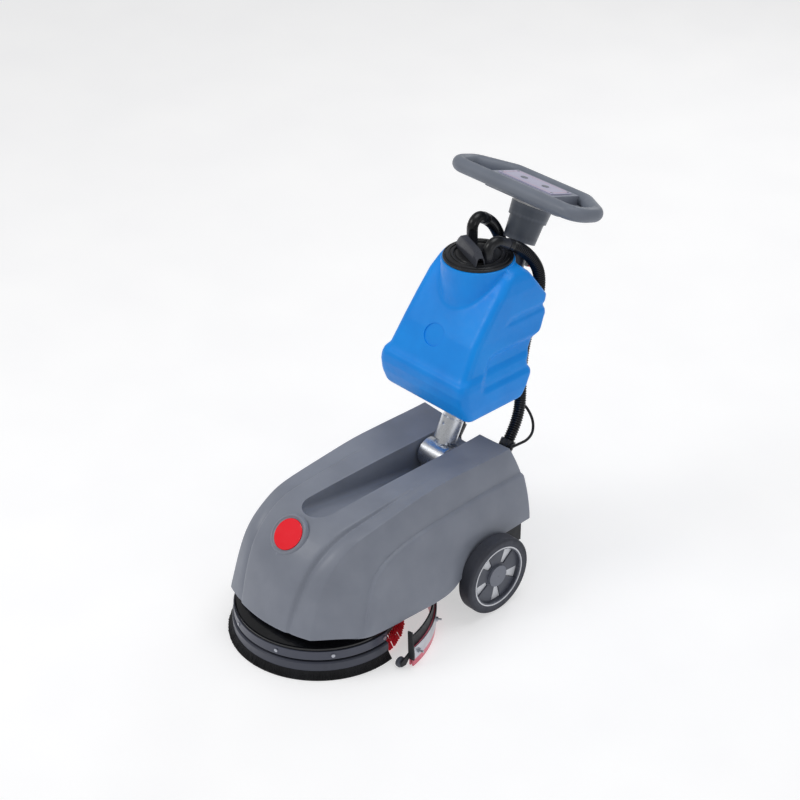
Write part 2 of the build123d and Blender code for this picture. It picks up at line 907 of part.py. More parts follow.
with BuildPart() as pole_knuckle:
    with BuildSketch(pole_side(-knuckle_half_width)):
        Circle(knuckle_radius)
    extrude(amount=2 * knuckle_half_width)
    with BuildSketch(along_pole(0)):
        Circle(knuckle_half_width - 0.5)
    extrude(amount=collar_bottom + 2)
    with BuildSketch(along_pole(collar_bottom)):
        Circle(collar_radius)
    extrude(amount=collar_top - collar_bottom)
    with BuildSketch(along_pole(collar_bottom + 14)):
        Circle(tube_radius)
    extrude(amount=collar_top, mode=Mode.SUBTRACT)
    with BuildSketch(pole_side(-60)):
        Circle(pivot_pin_radius + running)
    extrude(amount=120, mode=Mode.SUBTRACT)
    with BuildSketch(Plane(pole_plane.origin, x_dir=(1, 0, 0), z_dir=-pole_plane.y_dir)):
        with Locations((0, collar_top - 16)):
            Circle(4)
    extrude(amount=60, mode=Mode.SUBTRACT)
save(pole_knuckle, "pole_knuckle")

def pole_rear(height):
    """Plane facing rearwards, square to the pole, at a distance up the pole."""
    return Plane(
        origin=pole_plane.origin + pole_plane.z_dir * height,
        x_dir=(1, 0, 0),
        z_dir=pole_plane.y_dir,
    )


cable_exit_height = 190.0
cable_boss_reach = tube_radius + 8
with BuildPart() as lower_tube:
    with BuildSketch(along_pole(collar_bottom + 14)):
        Circle(tube_radius)
    extrude(amount=tube_top - collar_bottom - 14)
    with BuildSketch(pole_rear(cable_exit_height)):
        Circle(cable_radius + 4)
    extrude(amount=cable_boss_reach)
    with BuildSketch(along_pole(collar_bottom)):
        Circle(tube_radius - tube_wall)
    extrude(amount=tube_top - collar_bottom + 10, mode=Mode.SUBTRACT)
    with BuildSketch(pole_rear(cable_exit_height)):
        Circle(cable_radius)
    extrude(amount=cable_boss_reach + 10, mode=Mode.SUBTRACT)
save(lower_tube, "lower_tube")

with BuildPart() as tube_clamp:
    with BuildSketch(along_pole(clamp_bottom)):
        Circle(clamp_radius)
    extrude(amount=clamp_top - clamp_bottom)
    with BuildSketch(pole_rear(knob_height)):
        Circle(9)
    extrude(amount=knob_reach - 24)
    with BuildSketch(along_pole(clamp_bottom - 1)):
        Circle(tube_radius)
    extrude(amount=tube_top - clamp_bottom + 1, mode=Mode.SUBTRACT)
    with BuildSketch(along_pole(tube_top - 1)):
        Circle(mast_radius + slide_gap)
    extrude(amount=60, mode=Mode.SUBTRACT)
    with BuildSketch(pole_rear(knob_height)):
        Circle(4 + running)
    extrude(amount=100, mode=Mode.SUBTRACT)
save(tube_clamp, "tube_clamp")

with BuildPart() as clamp_knob:
    with BuildSketch(pole_rear(knob_height).offset(mast_radius + 2)):
        Circle(4)
    extrude(amount=knob_reach - mast_radius - 22)
    with BuildSketch(pole_rear(knob_height).offset(knob_reach - 22)):
        Circle(10)
    extrude(amount=22)
    fillet(faces().sort_by(Axis(pole_plane.origin, pole_plane.y_dir))[-1].edges(), 3)
save(clamp_knob, "clamp_knob")

# ---- mast and handle ----------------------------------------------------------------
collar_start = 616.0
collar_end = 650.0
with BuildPart() as upper_tube:
    with BuildSketch(along_pole(mast_bottom)):
        Circle(mast_radius)
        Circle(mast_radius - tube_wall, mode=Mode.SUBTRACT)
    extrude(amount=collar_start + 10 - mast_bottom)
save(upper_tube, "upper_tube")

with BuildPart() as neck_housing:
    with BuildSketch(along_pole(neck_start)):
        Circle(neck_radius)
    with BuildSketch(along_pole(collar_start)):
        Circle(neck_radius + 3)
    loft()
    with BuildSketch(along_pole(collar_start)):
        Circle(neck_collar_radius - 1.5)
    with BuildSketch(along_pole(collar_end)):
        Circle(neck_collar_radius + 1.5)
    loft()
    with BuildSketch(along_pole(neck_start - 1)):
        Circle(mast_radius)
    extrude(amount=collar_start + 11 - neck_start, mode=Mode.SUBTRACT)
save(neck_housing, "neck_housing")

ring_corners = [
    (-handle_half_width, -handle_near),
    (handle_half_width, -handle_near),
    (handle_half_width, 30),
    (handle_half_width - 88, handle_far),
    (88 - handle_half_width, handle_far),
    (-handle_half_width, 30),
]
with BuildPart() as handle_ring:
    with BuildLine(handle_plane) as ring_line:
        FilletPolyline(*ring_corners, radius=38, close=True)
    ring_start = Plane(
        origin=handle_plane.from_local_coords(Vector(0, -handle_near, 0)),
        x_dir=handle_plane.y_dir,
        z_dir=(1, 0, 0),
    )
    with BuildSketch(ring_start):
        Circle(grip_radius)
    sweep(path=ring_line.wire())
save(handle_ring, "handle_ring")

# the console closes the ring, over a box that meets the neck
console_top_level = 10.0
console_low_level = -12.0
base_level = -32.0
deck_half_width = 105.0
panel_half_width = 88.0
panel_depth = 74.0
panel_centre = 26.0
button_radius = 9.0
button_x = 34.0
button_travel = 2.5
button_bottom = console_top_level - 6 + button_travel + slide_gap
button_well = [(-button_x, panel_centre), (button_x, panel_centre)]
with BuildPart() as console_top:
    with BuildSketch(handle_plane.offset(console_low_level)):
        with BuildLine():
            Polyline(
                (-deck_half_width - 18, -handle_near),
                (deck_half_width + 18, -handle_near),
                (deck_half_width - 6, -handle_near + 30),
                (deck_half_width - 6, handle_far - 8),
                (6 - deck_half_width, handle_far - 8),
                (6 - deck_half_width, -handle_near + 30),
                close=True,
            )
        make_face()
    extrude(amount=console_top_level - console_low_level)
    add(handle_ring.part, mode=Mode.SUBTRACT)
    with BuildSketch(handle_plane.offset(console_top_level - 6)):
        with Locations(*button_well):
            Circle(button_radius + slide_gap)
    extrude(amount=10, mode=Mode.SUBTRACT)
save(console_top, "console_top")

with BuildPart() as console_base:
    with BuildSketch(handle_plane.offset(base_level)):
        with Locations((0, 34)):
            RectangleRounded(2 * console_half_width, 92, 12)
    extrude(amount=console_low_level - base_level)
    add(handle_ring.part, mode=Mode.SUBTRACT)
    add(neck_housing.part, mode=Mode.SUBTRACT)
save(console_base, "console_base")

with BuildPart() as panel_plate:
    with BuildSketch(handle_plane.offset(console_top_level)):
        with Locations((0, panel_centre)):
            RectangleRounded(2 * panel_half_width, panel_depth, 6)
        with Locations(*button_well):
            Circle(button_radius + slide_gap, mode=Mode.SUBTRACT)
    extrude(amount=3)
save(panel_plate, "panel_plate")

with BuildPart() as panel_screws:
    with BuildSketch(handle_plane.offset(console_top_level + 3)):
        with Locations((0, panel_centre)):
            with GridLocations(2 * panel_half_width - 16, panel_depth - 16, 2, 2):
                Circle(3)
    extrude(amount=1.6)
save(panel_screws, "panel_screws")

for name, x in (("brush_button", -button_x), ("suction_button", button_x)):
    with BuildPart() as button:
        with BuildSketch(handle_plane.offset(button_bottom)):
            with Locations((x, panel_centre)):
                Circle(button_radius)
        extrude(amount=console_top_level + 3 + 0.8 - button_bottom)
    save(button, name)

# ---- tank ---------------------------------------------------------------------------


def pole_point(rearwards, height):
    """Distance behind the brush axis and height of a point given in the pole's frame."""
    lean = radians(pole_lean)
    return (
        pivot_back + rearwards * cos(lean) + height * sin(lean),
        pivot_height - rearwards * sin(lean) + height * cos(lean),
    )


tank_side = [
    (350, tank_bottom + 6),
    (326, tank_bottom + 60),
    (324, tank_bottom + 86),
    (334, tank_bottom + 106),
    (349, tank_bottom + 126),
    (384, tank_top - 154),
    (423, tank_top - 104),
    (463, tank_top - 56),
    (498, tank_top - 18),
    (524, tank_top - 4),
    (566, tank_top - 8),
    (602, tank_top - 58),
    pole_point(tank_back - 20, 471),
    pole_point(tank_back - 16, 445),
    pole_point(tank_back - 2, 432),
    pole_point(tank_back + 2, 388),
    pole_point(tank_back - 14, 372),
    pole_point(tank_back - 16, 304),
    pole_point(tank_back, 288),
    pole_point(tank_back, 203),
]
tank_front = [
    (tank_half_width - 8, tank_bottom - 14),
    (tank_half_width + 1, tank_bottom + 30),
    (tank_half_width - 6, tank_bottom + 106),
    (tank_half_width - 15, tank_bottom + 126),
    (tank_half_width - 22, tank_top - 154),
    (tank_half_width - 24, tank_top - 56),
    (tank_half_width - 32, tank_top - 18),
    (tank_half_width - 46, tank_top),
]
neck_ring_radius = lid_radius + 4
channel_half_width = clamp_radius + 4
channel_front = -(clamp_radius + 2)


def tank_body(inset):
    """Tank solid, drawn in by an inset, without its pole channel."""
    with BuildPart() as body:
        with BuildSketch(side_plane):
            with BuildLine():
                Polyline(*tank_side, close=True)
            make_face()
            if inset:
                offset(amount=-inset, mode=Mode.REPLACE)
        extrude(amount=tank_half_width + 10, both=True)
        with BuildSketch(Plane(origin=(0, brush_y, 0), x_dir=(1, 0, 0), z_dir=(0, -1, 0))):
            with BuildLine():
                Polyline(*tank_front, *[(-x, z) for x, z in reversed(tank_front)], close=True)
            make_face()
            if inset:
                offset(amount=-inset, mode=Mode.REPLACE)
        extrude(amount=-900, both=True, mode=Mode.INTERSECT)
        # round neck under the lid, running down into the leaning front
        with BuildSketch(level(tank_top - 150)):
            with Locations((0, lid_back)):
                Circle(neck_ring_radius - inset)
        extrude(amount=150 - inset)
    return body.part


def pole_channel(gap):
    """Upright channel in the tank's back that straddles the pole."""
    with BuildPart() as channel:
        with BuildSketch(along_pole(120)):
            with Locations((0, (channel_front - gap + 160) / 2)):
                Rectangle(2 * (channel_half_width + gap), 160 - channel_front + gap)
        extrude(amount=460)
    return channel.part


with BuildPart() as hollow:
    add(tank_body(tank_wall))
    add(pole_channel(tank_wall), mode=Mode.SUBTRACT)

with BuildPart() as tank_shell:
    add(tank_body(0))
    add(pole_channel(0), mode=Mode.SUBTRACT)
    add(hollow.part, mode=Mode.SUBTRACT)
    with BuildSketch(level(tank_top - 10)):
        with Locations((0, lid_back)):
            Circle(neck_opening_radius)
    extrude(amount=20, mode=Mode.SUBTRACT)
save(tank_shell, "tank_shell")

# ---- lid and elbows -----------------------------------------------------------------
lid_base = tank_top
lid_deck = lid_base + 6.0
right_elbow = (44.0, lid_back - 12)
left_elbow = (-49.0, lid_back + 29)
elbow_radius = hose_radius - 1.5
with BuildPart() as tank_lid:
    with BuildSketch(level(lid_base)):
        with Locations((0, lid_back)):
            Circle(lid_radius)
    extrude(amount=lid_deck - lid_base)
    with BuildSketch(level(lid_deck)):
        with Locations((0, lid_back)):
            Circle(lid_radius - 8)
            Circle(lid_radius - 20, mode=Mode.SUBTRACT)
    extrude(amount=4)
    with BuildSketch(level(lid_base)):
        with Locations((0, lid_back)):
            Circle(neck_opening_radius - 0.5)
            Circle(neck_opening_radius - 5, mode=Mode.SUBTRACT)
    extrude(amount=-16)
    # grip bar
    with BuildSketch(level(lid_deck)):
        with Locations(Location((-3, lid_back - 22, 0), (0, 0, -22))):
            Rectangle(118, 26)
    with BuildSketch(level(lid_deck + 32)):
        with Locations(Location((-3, lid_back - 22, 0), (0, 0, -22))):
            Rectangle(78, 18)
    loft()
    with BuildSketch(level(lid_base - 1)):
        with Locations(right_elbow, left_elbow):
            Circle(elbow_radius)
    extrude(amount=50, mode=Mode.SUBTRACT)
save(tank_lid, "tank_lid")

# each elbow: base (x, back), corner height, end (x, back, height)
right_bend = (right_elbow, lid_base + 66, (51.0, lid_back + 46, lid_base + 36))
left_bend = (left_elbow, lid_base + 86, (-52.0, lid_back + 68, lid_base + 60))
with BuildPart() as lid_elbows:
    for (x, back), corner, end in (right_bend, left_bend):
        with BuildLine(floor_plane) as bend:
            FilletPolyline((x, back, lid_base), (x, back, corner), end, radius=22)
        with BuildSketch(level(lid_base)):
            with Locations((x, back)):
                Circle(elbow_radius)
                Circle(elbow_radius - 3, mode=Mode.SUBTRACT)
        sweep(path=bend.wire())
save(lid_elbows, "lid_elbows")

with BuildPart() as tank_bracket:
    for height in (236, 420):
        with BuildSketch(along_pole(height)):
            Circle(tube_radius + 5)
            Rectangle(2 * channel_half_width, 22)
            Circle(tube_radius, mode=Mode.SUBTRACT)
        extrude(amount=28)
save(tank_bracket, "tank_bracket")

# ---- hoses and cable ----------------------------------------------------------------
# routes as (x, distance behind the brush axis, height)


def past_elbow(bend, distance):
    """Point beyond an elbow's end, in line with its last leg."""
    (x, back), corner, end = bend
    leg = Vector(*end) - Vector(x, back, corner)
    return tuple(Vector(*end) + leg.normalized() * distance)


def before_inlet(place, distance):
    """Point in line with an inlet's leaning spigot."""
    lean = radians(inlet_lean)
    return (place[0], flange_back + distance * cos(lean), place[1] + distance * sin(lean))


right_hose_route = [
    past_elbow(right_bend, slide_gap),
    past_elbow(right_bend, 36),
    (61, 630, 788),
    (65, 655, 746),
    (66, 660, 702),
    (64, 654, 662),
    (63, 638, 622),
    (66, 620, 582),
    (71, 604, 540),
    (78, 592, 496),
    (86, 584, 450),
    (93, 576, 406),
    before_inlet(right_inlet, 74),
    before_inlet(right_inlet, 25),
]
left_hose_route = [
    past_elbow(left_bend, slide_gap),
    past_elbow(left_bend, 34),
    (-60, 640, 808),
    (-62, 660, 764),
    (-63, 664, 718),
    (-61, 656, 674),
    (-60, 640, 634),
    (-60, 622, 592),
    (-61, 606, 546),
    (-60, 592, 496),
    (-62, 580, 444),
    (-67, 568, 388),
    before_inlet(left_inlet, 76),
    before_inlet(left_inlet, 25),
]
cable_route = [
    (0, *pole_point(cable_boss_reach + slide_gap, cable_exit_height)),
    (0, *pole_point(cable_boss_reach + 24, cable_exit_height)),
    (20, 556, 436),
    (50, 582, 424),
    (84, 602, 401),
    (109, 607, 368),
    (124, 594, 342),
    (130, 567, 332),
    (125, 540, 330),
    (gland_place[0], rear_face + 10, gland_place[1]),
]


def corner_radii(route):
    """Largest radius at each corner that its two runs leave room for."""
    points = [Vector(*p) for p in route]
    radii = []
    for a, b, c in zip(points, points[1:], points[2:]):
        turn = radians((b - a).get_angle(c - b))
        radii.append(0.45 * min((b - a).length, (c - b).length) / tan(turn / 2))
    return radii


def lay_tube(route, radius):
    """Tube along straight runs joined by tangent arcs."""
    first = Vector(*route[0])
    second = Vector(*route[1])
    with BuildPart() as tube:
        with BuildLine(floor_plane) as line:
            FilletPolyline(*route, radius=corner_radii(route))
        with BuildSketch(Plane(origin=first + Vector(0, brush_y, 0), z_dir=second - first)):
            Circle(radius)
        sweep(path=line.wire())
    return tube, line.wire().length


for name, route, radius in (
    ("hose_right", right_hose_route, hose_radius),
    ("hose_left", left_hose_route, hose_radius),
    ("control_cable", cable_route, cable_radius),
):
    tube, length = lay_tube(route, radius)
    radii = [round(r) for r in corner_radii(route)]
    section = 3.141592653589793 * radius**2
    print(name, "length", round(length), "volume ratio", round(tube.part.volume / (section * length), 4), radii)
    save(tube, name)
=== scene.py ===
from math import cos, pi, radians, sin, sqrt, tan

import bmesh
import bpy
from mathutils import Matrix, Vector


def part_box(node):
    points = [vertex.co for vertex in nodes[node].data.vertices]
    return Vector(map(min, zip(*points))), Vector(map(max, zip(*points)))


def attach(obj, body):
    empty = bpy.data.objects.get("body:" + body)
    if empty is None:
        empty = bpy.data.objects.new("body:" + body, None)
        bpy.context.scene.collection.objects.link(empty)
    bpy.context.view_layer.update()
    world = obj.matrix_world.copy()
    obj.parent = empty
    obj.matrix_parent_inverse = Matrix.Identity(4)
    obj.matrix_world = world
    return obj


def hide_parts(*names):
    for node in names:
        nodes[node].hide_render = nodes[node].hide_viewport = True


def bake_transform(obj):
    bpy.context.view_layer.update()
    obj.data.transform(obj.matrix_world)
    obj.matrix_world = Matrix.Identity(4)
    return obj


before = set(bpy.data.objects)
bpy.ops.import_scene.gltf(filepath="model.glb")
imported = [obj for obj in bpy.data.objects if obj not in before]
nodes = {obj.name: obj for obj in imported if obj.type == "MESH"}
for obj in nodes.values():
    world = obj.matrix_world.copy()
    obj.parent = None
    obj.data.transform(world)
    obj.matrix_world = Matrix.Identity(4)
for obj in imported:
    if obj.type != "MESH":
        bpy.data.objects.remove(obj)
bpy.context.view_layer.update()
mm = 0.001

# places shared by every piece
blockLow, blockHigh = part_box("brush_block")
brushY = (blockLow.y + blockHigh.y) / 2  # the brush turns about this line, x is 0
poleLean = radians(27.7)
handleLean = radians(17)


# millimetres across, behind the brush and up, as a point in the frame
def at(x, back, z):
    return Vector((x * mm, brushY + back * mm, z * mm))


pivot = at(0, 392, 303)
poleUp = Vector((0, sin(poleLean), cos(poleLean)))
poleRear = Vector((0, cos(poleLean), -sin(poleLean)))
handleUp = Vector((0, sin(handleLean), cos(handleLean)))
handleRear = Vector((0, cos(handleLean), -sin(handleLean)))
handleCentre = at(0, 672, 933)
sideways = Vector((1, 0, 0))
upright = Vector((0, 0, 1))


def onPole(x, rear, up):
    return pivot + sideways * x * mm + poleRear * rear * mm + poleUp * up * mm


def onHandle(x, rear, up):
    return handleCentre + sideways * x * mm + handleRear * rear * mm + handleUp * up * mm


# materials
# sRGB hex to the linear colour the shader wants
def linear(code):
    parts = [int(code[i : i + 2], 16) / 255 for i in (0, 2, 4)]
    parts = [p / 12.92 if p <= 0.04045 else ((p + 0.055) / 1.055) ** 2.4 for p in parts]
    return (*parts, 1.0)


def addNode(tree, kind, settings=None, links=None):
    node = tree.nodes.new(kind)
    for key, value in (settings or {}).items():
        if isinstance(key, str) and hasattr(node, key):
            setattr(node, key, value)
        else:
            node.inputs[key].default_value = value
    for key, source in (links or {}).items():
        tree.links.new(source, node.inputs[key])
    return node


def startMaterial(name, settings):
    material = bpy.data.materials.new(name)
    material.use_nodes = True
    tree = material.node_tree
    tree.nodes.clear()
    shader = addNode(tree, "ShaderNodeBsdfPrincipled", settings)
    output = addNode(tree, "ShaderNodeOutputMaterial")
    tree.links.new(shader.outputs["BSDF"], output.inputs["Surface"])
    place = addNode(tree, "ShaderNodeTexCoord")
    return material, tree, shader, place.outputs["Object"]


# noise whose blobs are about sizeMm across, stretched along an axis if asked
def noiseAt(tree, place, sizeMm, detail=2.0, stretch=None):
    if stretch:
        place = addNode(
            tree, "ShaderNodeMapping", {"Scale": stretch}, {"Vector": place}
        ).outputs["Vector"]
    settings = {"Scale": 1 / (sizeMm * mm), "Detail": detail}
    return addNode(tree, "ShaderNodeTexNoise", settings, {"Vector": place}).outputs["Fac"]


# remaps noise's middle range to low..high
def spread(tree, value, low, high):
    node = addNode(
        tree,
        "ShaderNodeMapRange",
        {"From Min": 0.3, "From Max": 0.7, "To Min": low, "To Max": high},
        {"Value": value},
    )
    return node.outputs["Result"]


def twoTone(tree, factor, first, second):
    mix = addNode(tree, "ShaderNodeMix", {"data_type": "RGBA"}, {0: factor})
    mix.inputs[6].default_value = linear(first)
    mix.inputs[7].default_value = linear(second)
    return mix.outputs[2]


# painted highlight: lightens convex corners and edges, standing in for light caught on them
def edgeHighlight(tree, colour, code, amount):
    edge = addNode(tree, "ShaderNodeNewGeometry").outputs["Pointiness"]
    # painted highlight mask: strongest where the surface is most convex
    highlightMask = addNode(
        tree,
        "ShaderNodeMapRange",
        {"From Min": 0.52, "From Max": 0.62, "To Min": 0.0, "To Max": amount},
        {"Value": edge},
    ).outputs["Result"]
    mix = addNode(tree, "ShaderNodeMix", {"data_type": "RGBA"}, {0: highlightMask, 6: colour})
    mix.inputs[7].default_value = linear(code)
    return mix.outputs[2]


def grain(tree, shader, place, grainMm, depthMm, strength=0.5, stretch=None):
    bump = addNode(
        tree,
        "ShaderNodeBump",
        {"Strength": strength, "Distance": depthMm * mm},
        {"Height": noiseAt(tree, place, grainMm, 3.0, stretch)},
    )
    tree.links.new(bump.outputs["Normal"], shader.inputs["Normal"])


# moulded ABS or polythene: fine spark grain, faint blotches, painted highlight on convex corners
def mouldedPlastic(name, colours, rough, grainMm, depthMm, coat=0.0, highlight=None, gloss=0.3):
    material, tree, shader, place = startMaterial(
        name, {"IOR": 1.5, "Specular IOR Level": gloss, "Coat Weight": coat, "Coat Roughness": 0.12}
    )
    blotch = spread(tree, noiseAt(tree, place, 90, 3.0), 0.0, 1.0)
    colour = twoTone(tree, blotch, *colours)
    # painted highlight: the given colour lightens convex edges
    if highlight:
        colour = edgeHighlight(tree, colour, highlight, 0.5)
    tree.links.new(colour, shader.inputs["Base Color"])
    tree.links.new(spread(tree, noiseAt(tree, place, 14, 4.0), *rough), shader.inputs["Roughness"])
    grain(tree, shader, place, grainMm, depthMm)
    return material


# drawn, turned or brushed metal: fine lines one way and a slightly uneven polish
def barMetal(name, colours, rough, stretch, grainMm=0.8, depthMm=0.02):
    material, tree, shader, place = startMaterial(name, {"Metallic": 1.0})
    cloud = spread(tree, noiseAt(tree, place, 40, 3.0), 0.0, 1.0)
    tree.links.new(twoTone(tree, cloud, *colours), shader.inputs["Base Color"])
    lines = noiseAt(tree, place, grainMm, 3.0, stretch)
    tree.links.new(spread(tree, lines, *rough), shader.inputs["Roughness"])
    grain(tree, shader, place, grainMm, depthMm, 0.35, stretch)
    return material


# a lone colour code after the coat value is the painted highlight colour for convex edges
finishes = {
    # satin grey ABS shell, fine spark-eroded grain
    "shell": mouldedPlastic(
        "satinGreyAbs", ("7D828E", "878C98"), (0.36, 0.46), 1.6, 0.05, 0.06, "A4A8B8"
    ),
    # darker grey ABS of the handle and neck
    "handle": mouldedPlastic(
        "handleGreyAbs", ("6C727D", "757B86"), (0.38, 0.5), 1.2, 0.04, 0.05, "A0A4B2"
    ),
    "neck": mouldedPlastic(
        "neckGreyAbs", ("4C525C", "565C66"), (0.3, 0.42), 1.4, 0.04, 0.12, "8A8F9A"
    ),
    # rotomoulded polythene: bright blue, slightly waxy, orange-peel surface
    "tank": mouldedPlastic(
        "blueRotoPolythene", ("0087E6", "0291F0"), (0.36, 0.5), 3.4, 0.09, 0.04, "2E97F0"
    ),
    "lid": mouldedPlastic(
        "blackAbs", ("0D0E11", "15171B"), (0.26, 0.38), 1.2, 0.04, 0.15, "4A4D58"
    ),
    "deck": mouldedPlastic("glossBlackAbs", ("0E0F12", "15161B"), (0.14, 0.26), 2.2, 0.03, 0.3),
    "band": mouldedPlastic(
        "skirtPolymer", ("24262F", "2D303B"), (0.28, 0.4), 1.4, 0.04, 0.15, "5C6070"
    ),
    "hose": mouldedPlastic(
        "hosePolythene", ("0A0B0E", "131519"), (0.24, 0.36), 1.0, 0.03, 0.15, "444752"
    ),
    "hub": mouldedPlastic(
        "wheelNylon", ("4A4D57", "565A65"), (0.34, 0.46), 1.2, 0.04, 0.05, "8A8E9A"
    ),
    "badge": mouldedPlastic("redAcrylic", ("F4001C", "FA0A26"), (0.1, 0.2), 3.0, 0.01, 0.6),
    "knob": mouldedPlastic(
        "redNylon", ("B50E22", "CC1A30"), (0.24, 0.36), 0.9, 0.03, 0.2, "E8586A"
    ),
    "battery": mouldedPlastic("batteryCase", ("1C1D21", "26282D"), (0.4, 0.55), 1.5, 0.05),
    # cut rubber and polyurethane
    "tyre": mouldedPlastic(
        "greyTyreRubber", ("30323A", "3B3D46"), (0.55, 0.7), 0.9, 0.06, 0.0, "5A5D68"
    ),
    "blade": mouldedPlastic("pinkPolyurethane", ("D4566C", "E27A8C"), (0.3, 0.42), 1.6, 0.03, 0.1),
    "powder": mouldedPlastic("blackPowderCoat", ("1A1B1F", "24262B"), (0.42, 0.56), 0.7, 0.05),
    "label": mouldedPlastic("printedLabel", ("ABA9C2", "B8B5CC"), (0.28, 0.36), 1.5, 0.01, 0.2),
    "labelEdge": mouldedPlastic("labelBorder", ("C79AAC", "D0A6B6"), (0.28, 0.36), 1.5, 0.01, 0.2),
    "bristleBlack": mouldedPlastic(
        "blackNylonBristle", ("0C0D10", "1A1B20"), (0.45, 0.6), 0.8, 0.02
    ),
    "bristleRed": mouldedPlastic("redNylonBristle", ("C80A20", "EE1E36"), (0.34, 0.5), 0.8, 0.02),
    # metals
    "chrome": barMetal("satinChrome", ("D2D5DB", "E2E5EA"), (0.22, 0.34), (1.0, 1.0, 0.06)),
    "steel": barMetal("turnedSteel", ("A6A9B2", "BFC2CA"), (0.24, 0.38), (0.08, 1.0, 1.0)),
    # silver lacquer on nylon: even and bright, not a mirror
    "silver": mouldedPlastic("silverLacquer", ("D2D4DA", "E0E2E7"), (0.24, 0.36), 1.0, 0.02, 0.3),
    "strip": barMetal("brushedStrip", ("B9BBC2", "D0D2D8"), (0.3, 0.42), (1.0, 1.0, 0.1)),
}
print("materials ready")


# mesh helpers
def showMesh(name, mesh):
    piece = bpy.data.objects.new(name, mesh)
    bpy.context.scene.collection.objects.link(piece)
    return piece


# mesh from points and faces, doubles merged, faces outwards, no strays
def makePiece(name, points, faces):
    mesh = bpy.data.meshes.new(name)
    mesh.from_pydata([tuple(p) for p in points], [], faces)
    work = bmesh.new()
    work.from_mesh(mesh)
    bmesh.ops.remove_doubles(work, verts=work.verts, dist=1e-5)
    bmesh.ops.dissolve_degenerate(work, dist=1e-6, edges=work.edges)
    bmesh.ops.recalc_face_normals(work, faces=work.faces)
    work.to_mesh(mesh)
    work.free()
    return showMesh(name, mesh)


# turns live modifiers into a plain mesh
def settle(piece):
    bpy.context.view_layer.update()
    graph = bpy.context.evaluated_depsgraph_get()
    mesh = bpy.data.meshes.new_from_object(piece.evaluated_get(graph))
    piece.modifiers.clear()
    piece.data = mesh
    mesh.name = piece.name
    return piece


def modify(piece, kind, **settings):
    modifier = piece.modifiers.new(kind.title(), kind)
    for key, value in settings.items():
        setattr(modifier, key, value)
    return modifier


def cut(piece, cutters):
    for cutter in cutters:
        modify(piece, "BOOLEAN", object=cutter, operation="DIFFERENCE", solver="EXACT")
    settle(piece)
    for cutter in cutters:
        bpy.data.objects.remove(cutter)
    return piece


# gives a piece its finish and shading, hangs it on its body and hides the CAD parts it replaces
def finishPiece(piece, finish, body, replaced=(), sharp=32):
    mesh = piece.data
    if not mesh.materials:
        mesh.materials.append(finishes[finish])
    mesh.shade_smooth()
    mesh.set_sharp_from_angle(angle=radians(sharp))
    if body:
        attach(piece, body)
    if replaced:
        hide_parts(*replaced)
    return piece


# rounds the corners of an open or closed run of 2-D points
def softCorners(points, radius, steps=3):
    done = [Vector(points[0]).to_2d()]
    for before, corner, after in zip(points, points[1:], points[2:]):
        before, corner, after = (Vector(p).to_2d() for p in (before, corner, after))
        reach = min(radius, (before - corner).length * 0.45, (after - corner).length * 0.45)
        start = corner + (before - corner).normalized() * reach
        end = corner + (after - corner).normalized() * reach
        for i in range(steps + 1):
            t = i / steps
            done.append(start * (1 - t) ** 2 + corner * 2 * t * (1 - t) + end * t * t)
    done.append(Vector(points[-1]).to_2d())
    return done


# sweeps (radius, height) points in mm about an axis. An arc short of a full turn gets end caps
def turned(name, profile, centre, axis, segments=96, begin=0.0, arc=360.0, right=None):
    axis = axis.normalized()
    right = right or (sideways if abs(axis.x) < 0.9 else upright)
    side = axis.cross(right).normalized()
    right = side.cross(axis)
    full = arc >= 359.99
    count = segments if full else segments + 1
    points = []
    for i in range(count):
        angle = radians(begin + arc * i / segments)
        out = right * cos(angle) + side * sin(angle)
        points += [centre + out * r * mm + axis * h * mm for r, h in profile]
    size = len(profile)
    faces = []
    for i in range(segments):
        a, b = i * size, ((i + 1) % count) * size
        faces += [(a + j, a + j + 1, b + j + 1, b + j) for j in range(size - 1)]
    if not full:
        faces += [tuple(range(size)), tuple(range((count - 1) * size, count * size))[::-1]]
    return makePiece(name, points, faces)


# joins equal rings of points with quads, capped at both ends unless closed into a loop
def lofted(name, rings, closed=False):
    size, count = len(rings[0]), len(rings)
    faces = []
    for i in range(count if closed else count - 1):
        a, b = i * size, (i + 1) % count * size
        faces += [(a + j, a + (j + 1) % size, b + (j + 1) % size, b + j) for j in range(size)]
    if not closed:
        faces += [tuple(range(size))[::-1], tuple(range((count - 1) * size, count * size))]
    return makePiece(name, [p for ring in rings for p in ring], faces)


# camera, light and floor
studio = {"azimuth": 46.663, "elevation": 31.603, "lensMm": 94.1, "spot": (3040, -2606, 3089)}
azimuth, elevation = radians(studio["azimuth"]), radians(studio["elevation"])
towards = Vector((sin(azimuth) * cos(elevation), -cos(azimuth) * cos(elevation), sin(elevation)))
acrossView = Vector((cos(azimuth), sin(azimuth), 0))
camera = bpy.data.objects.new("studioCamera", bpy.data.cameras.new("studioCamera"))
bpy.context.scene.collection.objects.link(camera)
camera.data.lens = studio["lensMm"]
camera.data.sensor_width = 36
camera.data.clip_end = 60
turn = Matrix((acrossView, towards.cross(acrossView), towards)).transposed().to_4x4()
camera.matrix_world = Matrix.Translation(at(*studio["spot"])) @ turn
bpy.context.scene.camera = camera
bpy.context.scene.view_settings.view_transform = "Standard"


def addLight(name, spot, aim, size, power, colour=(1, 1, 1)):
    light = bpy.data.objects.new(name, bpy.data.lights.new(name, "AREA"))
    bpy.context.scene.collection.objects.link(light)
    light.data.shape = "DISK"
    light.data.size = size
    light.data.energy = power
    light.data.color = colour
    facing = (spot - aim).to_track_quat("Z", "Y").to_matrix().to_4x4()
    light.matrix_world = Matrix.Translation(spot) @ facing


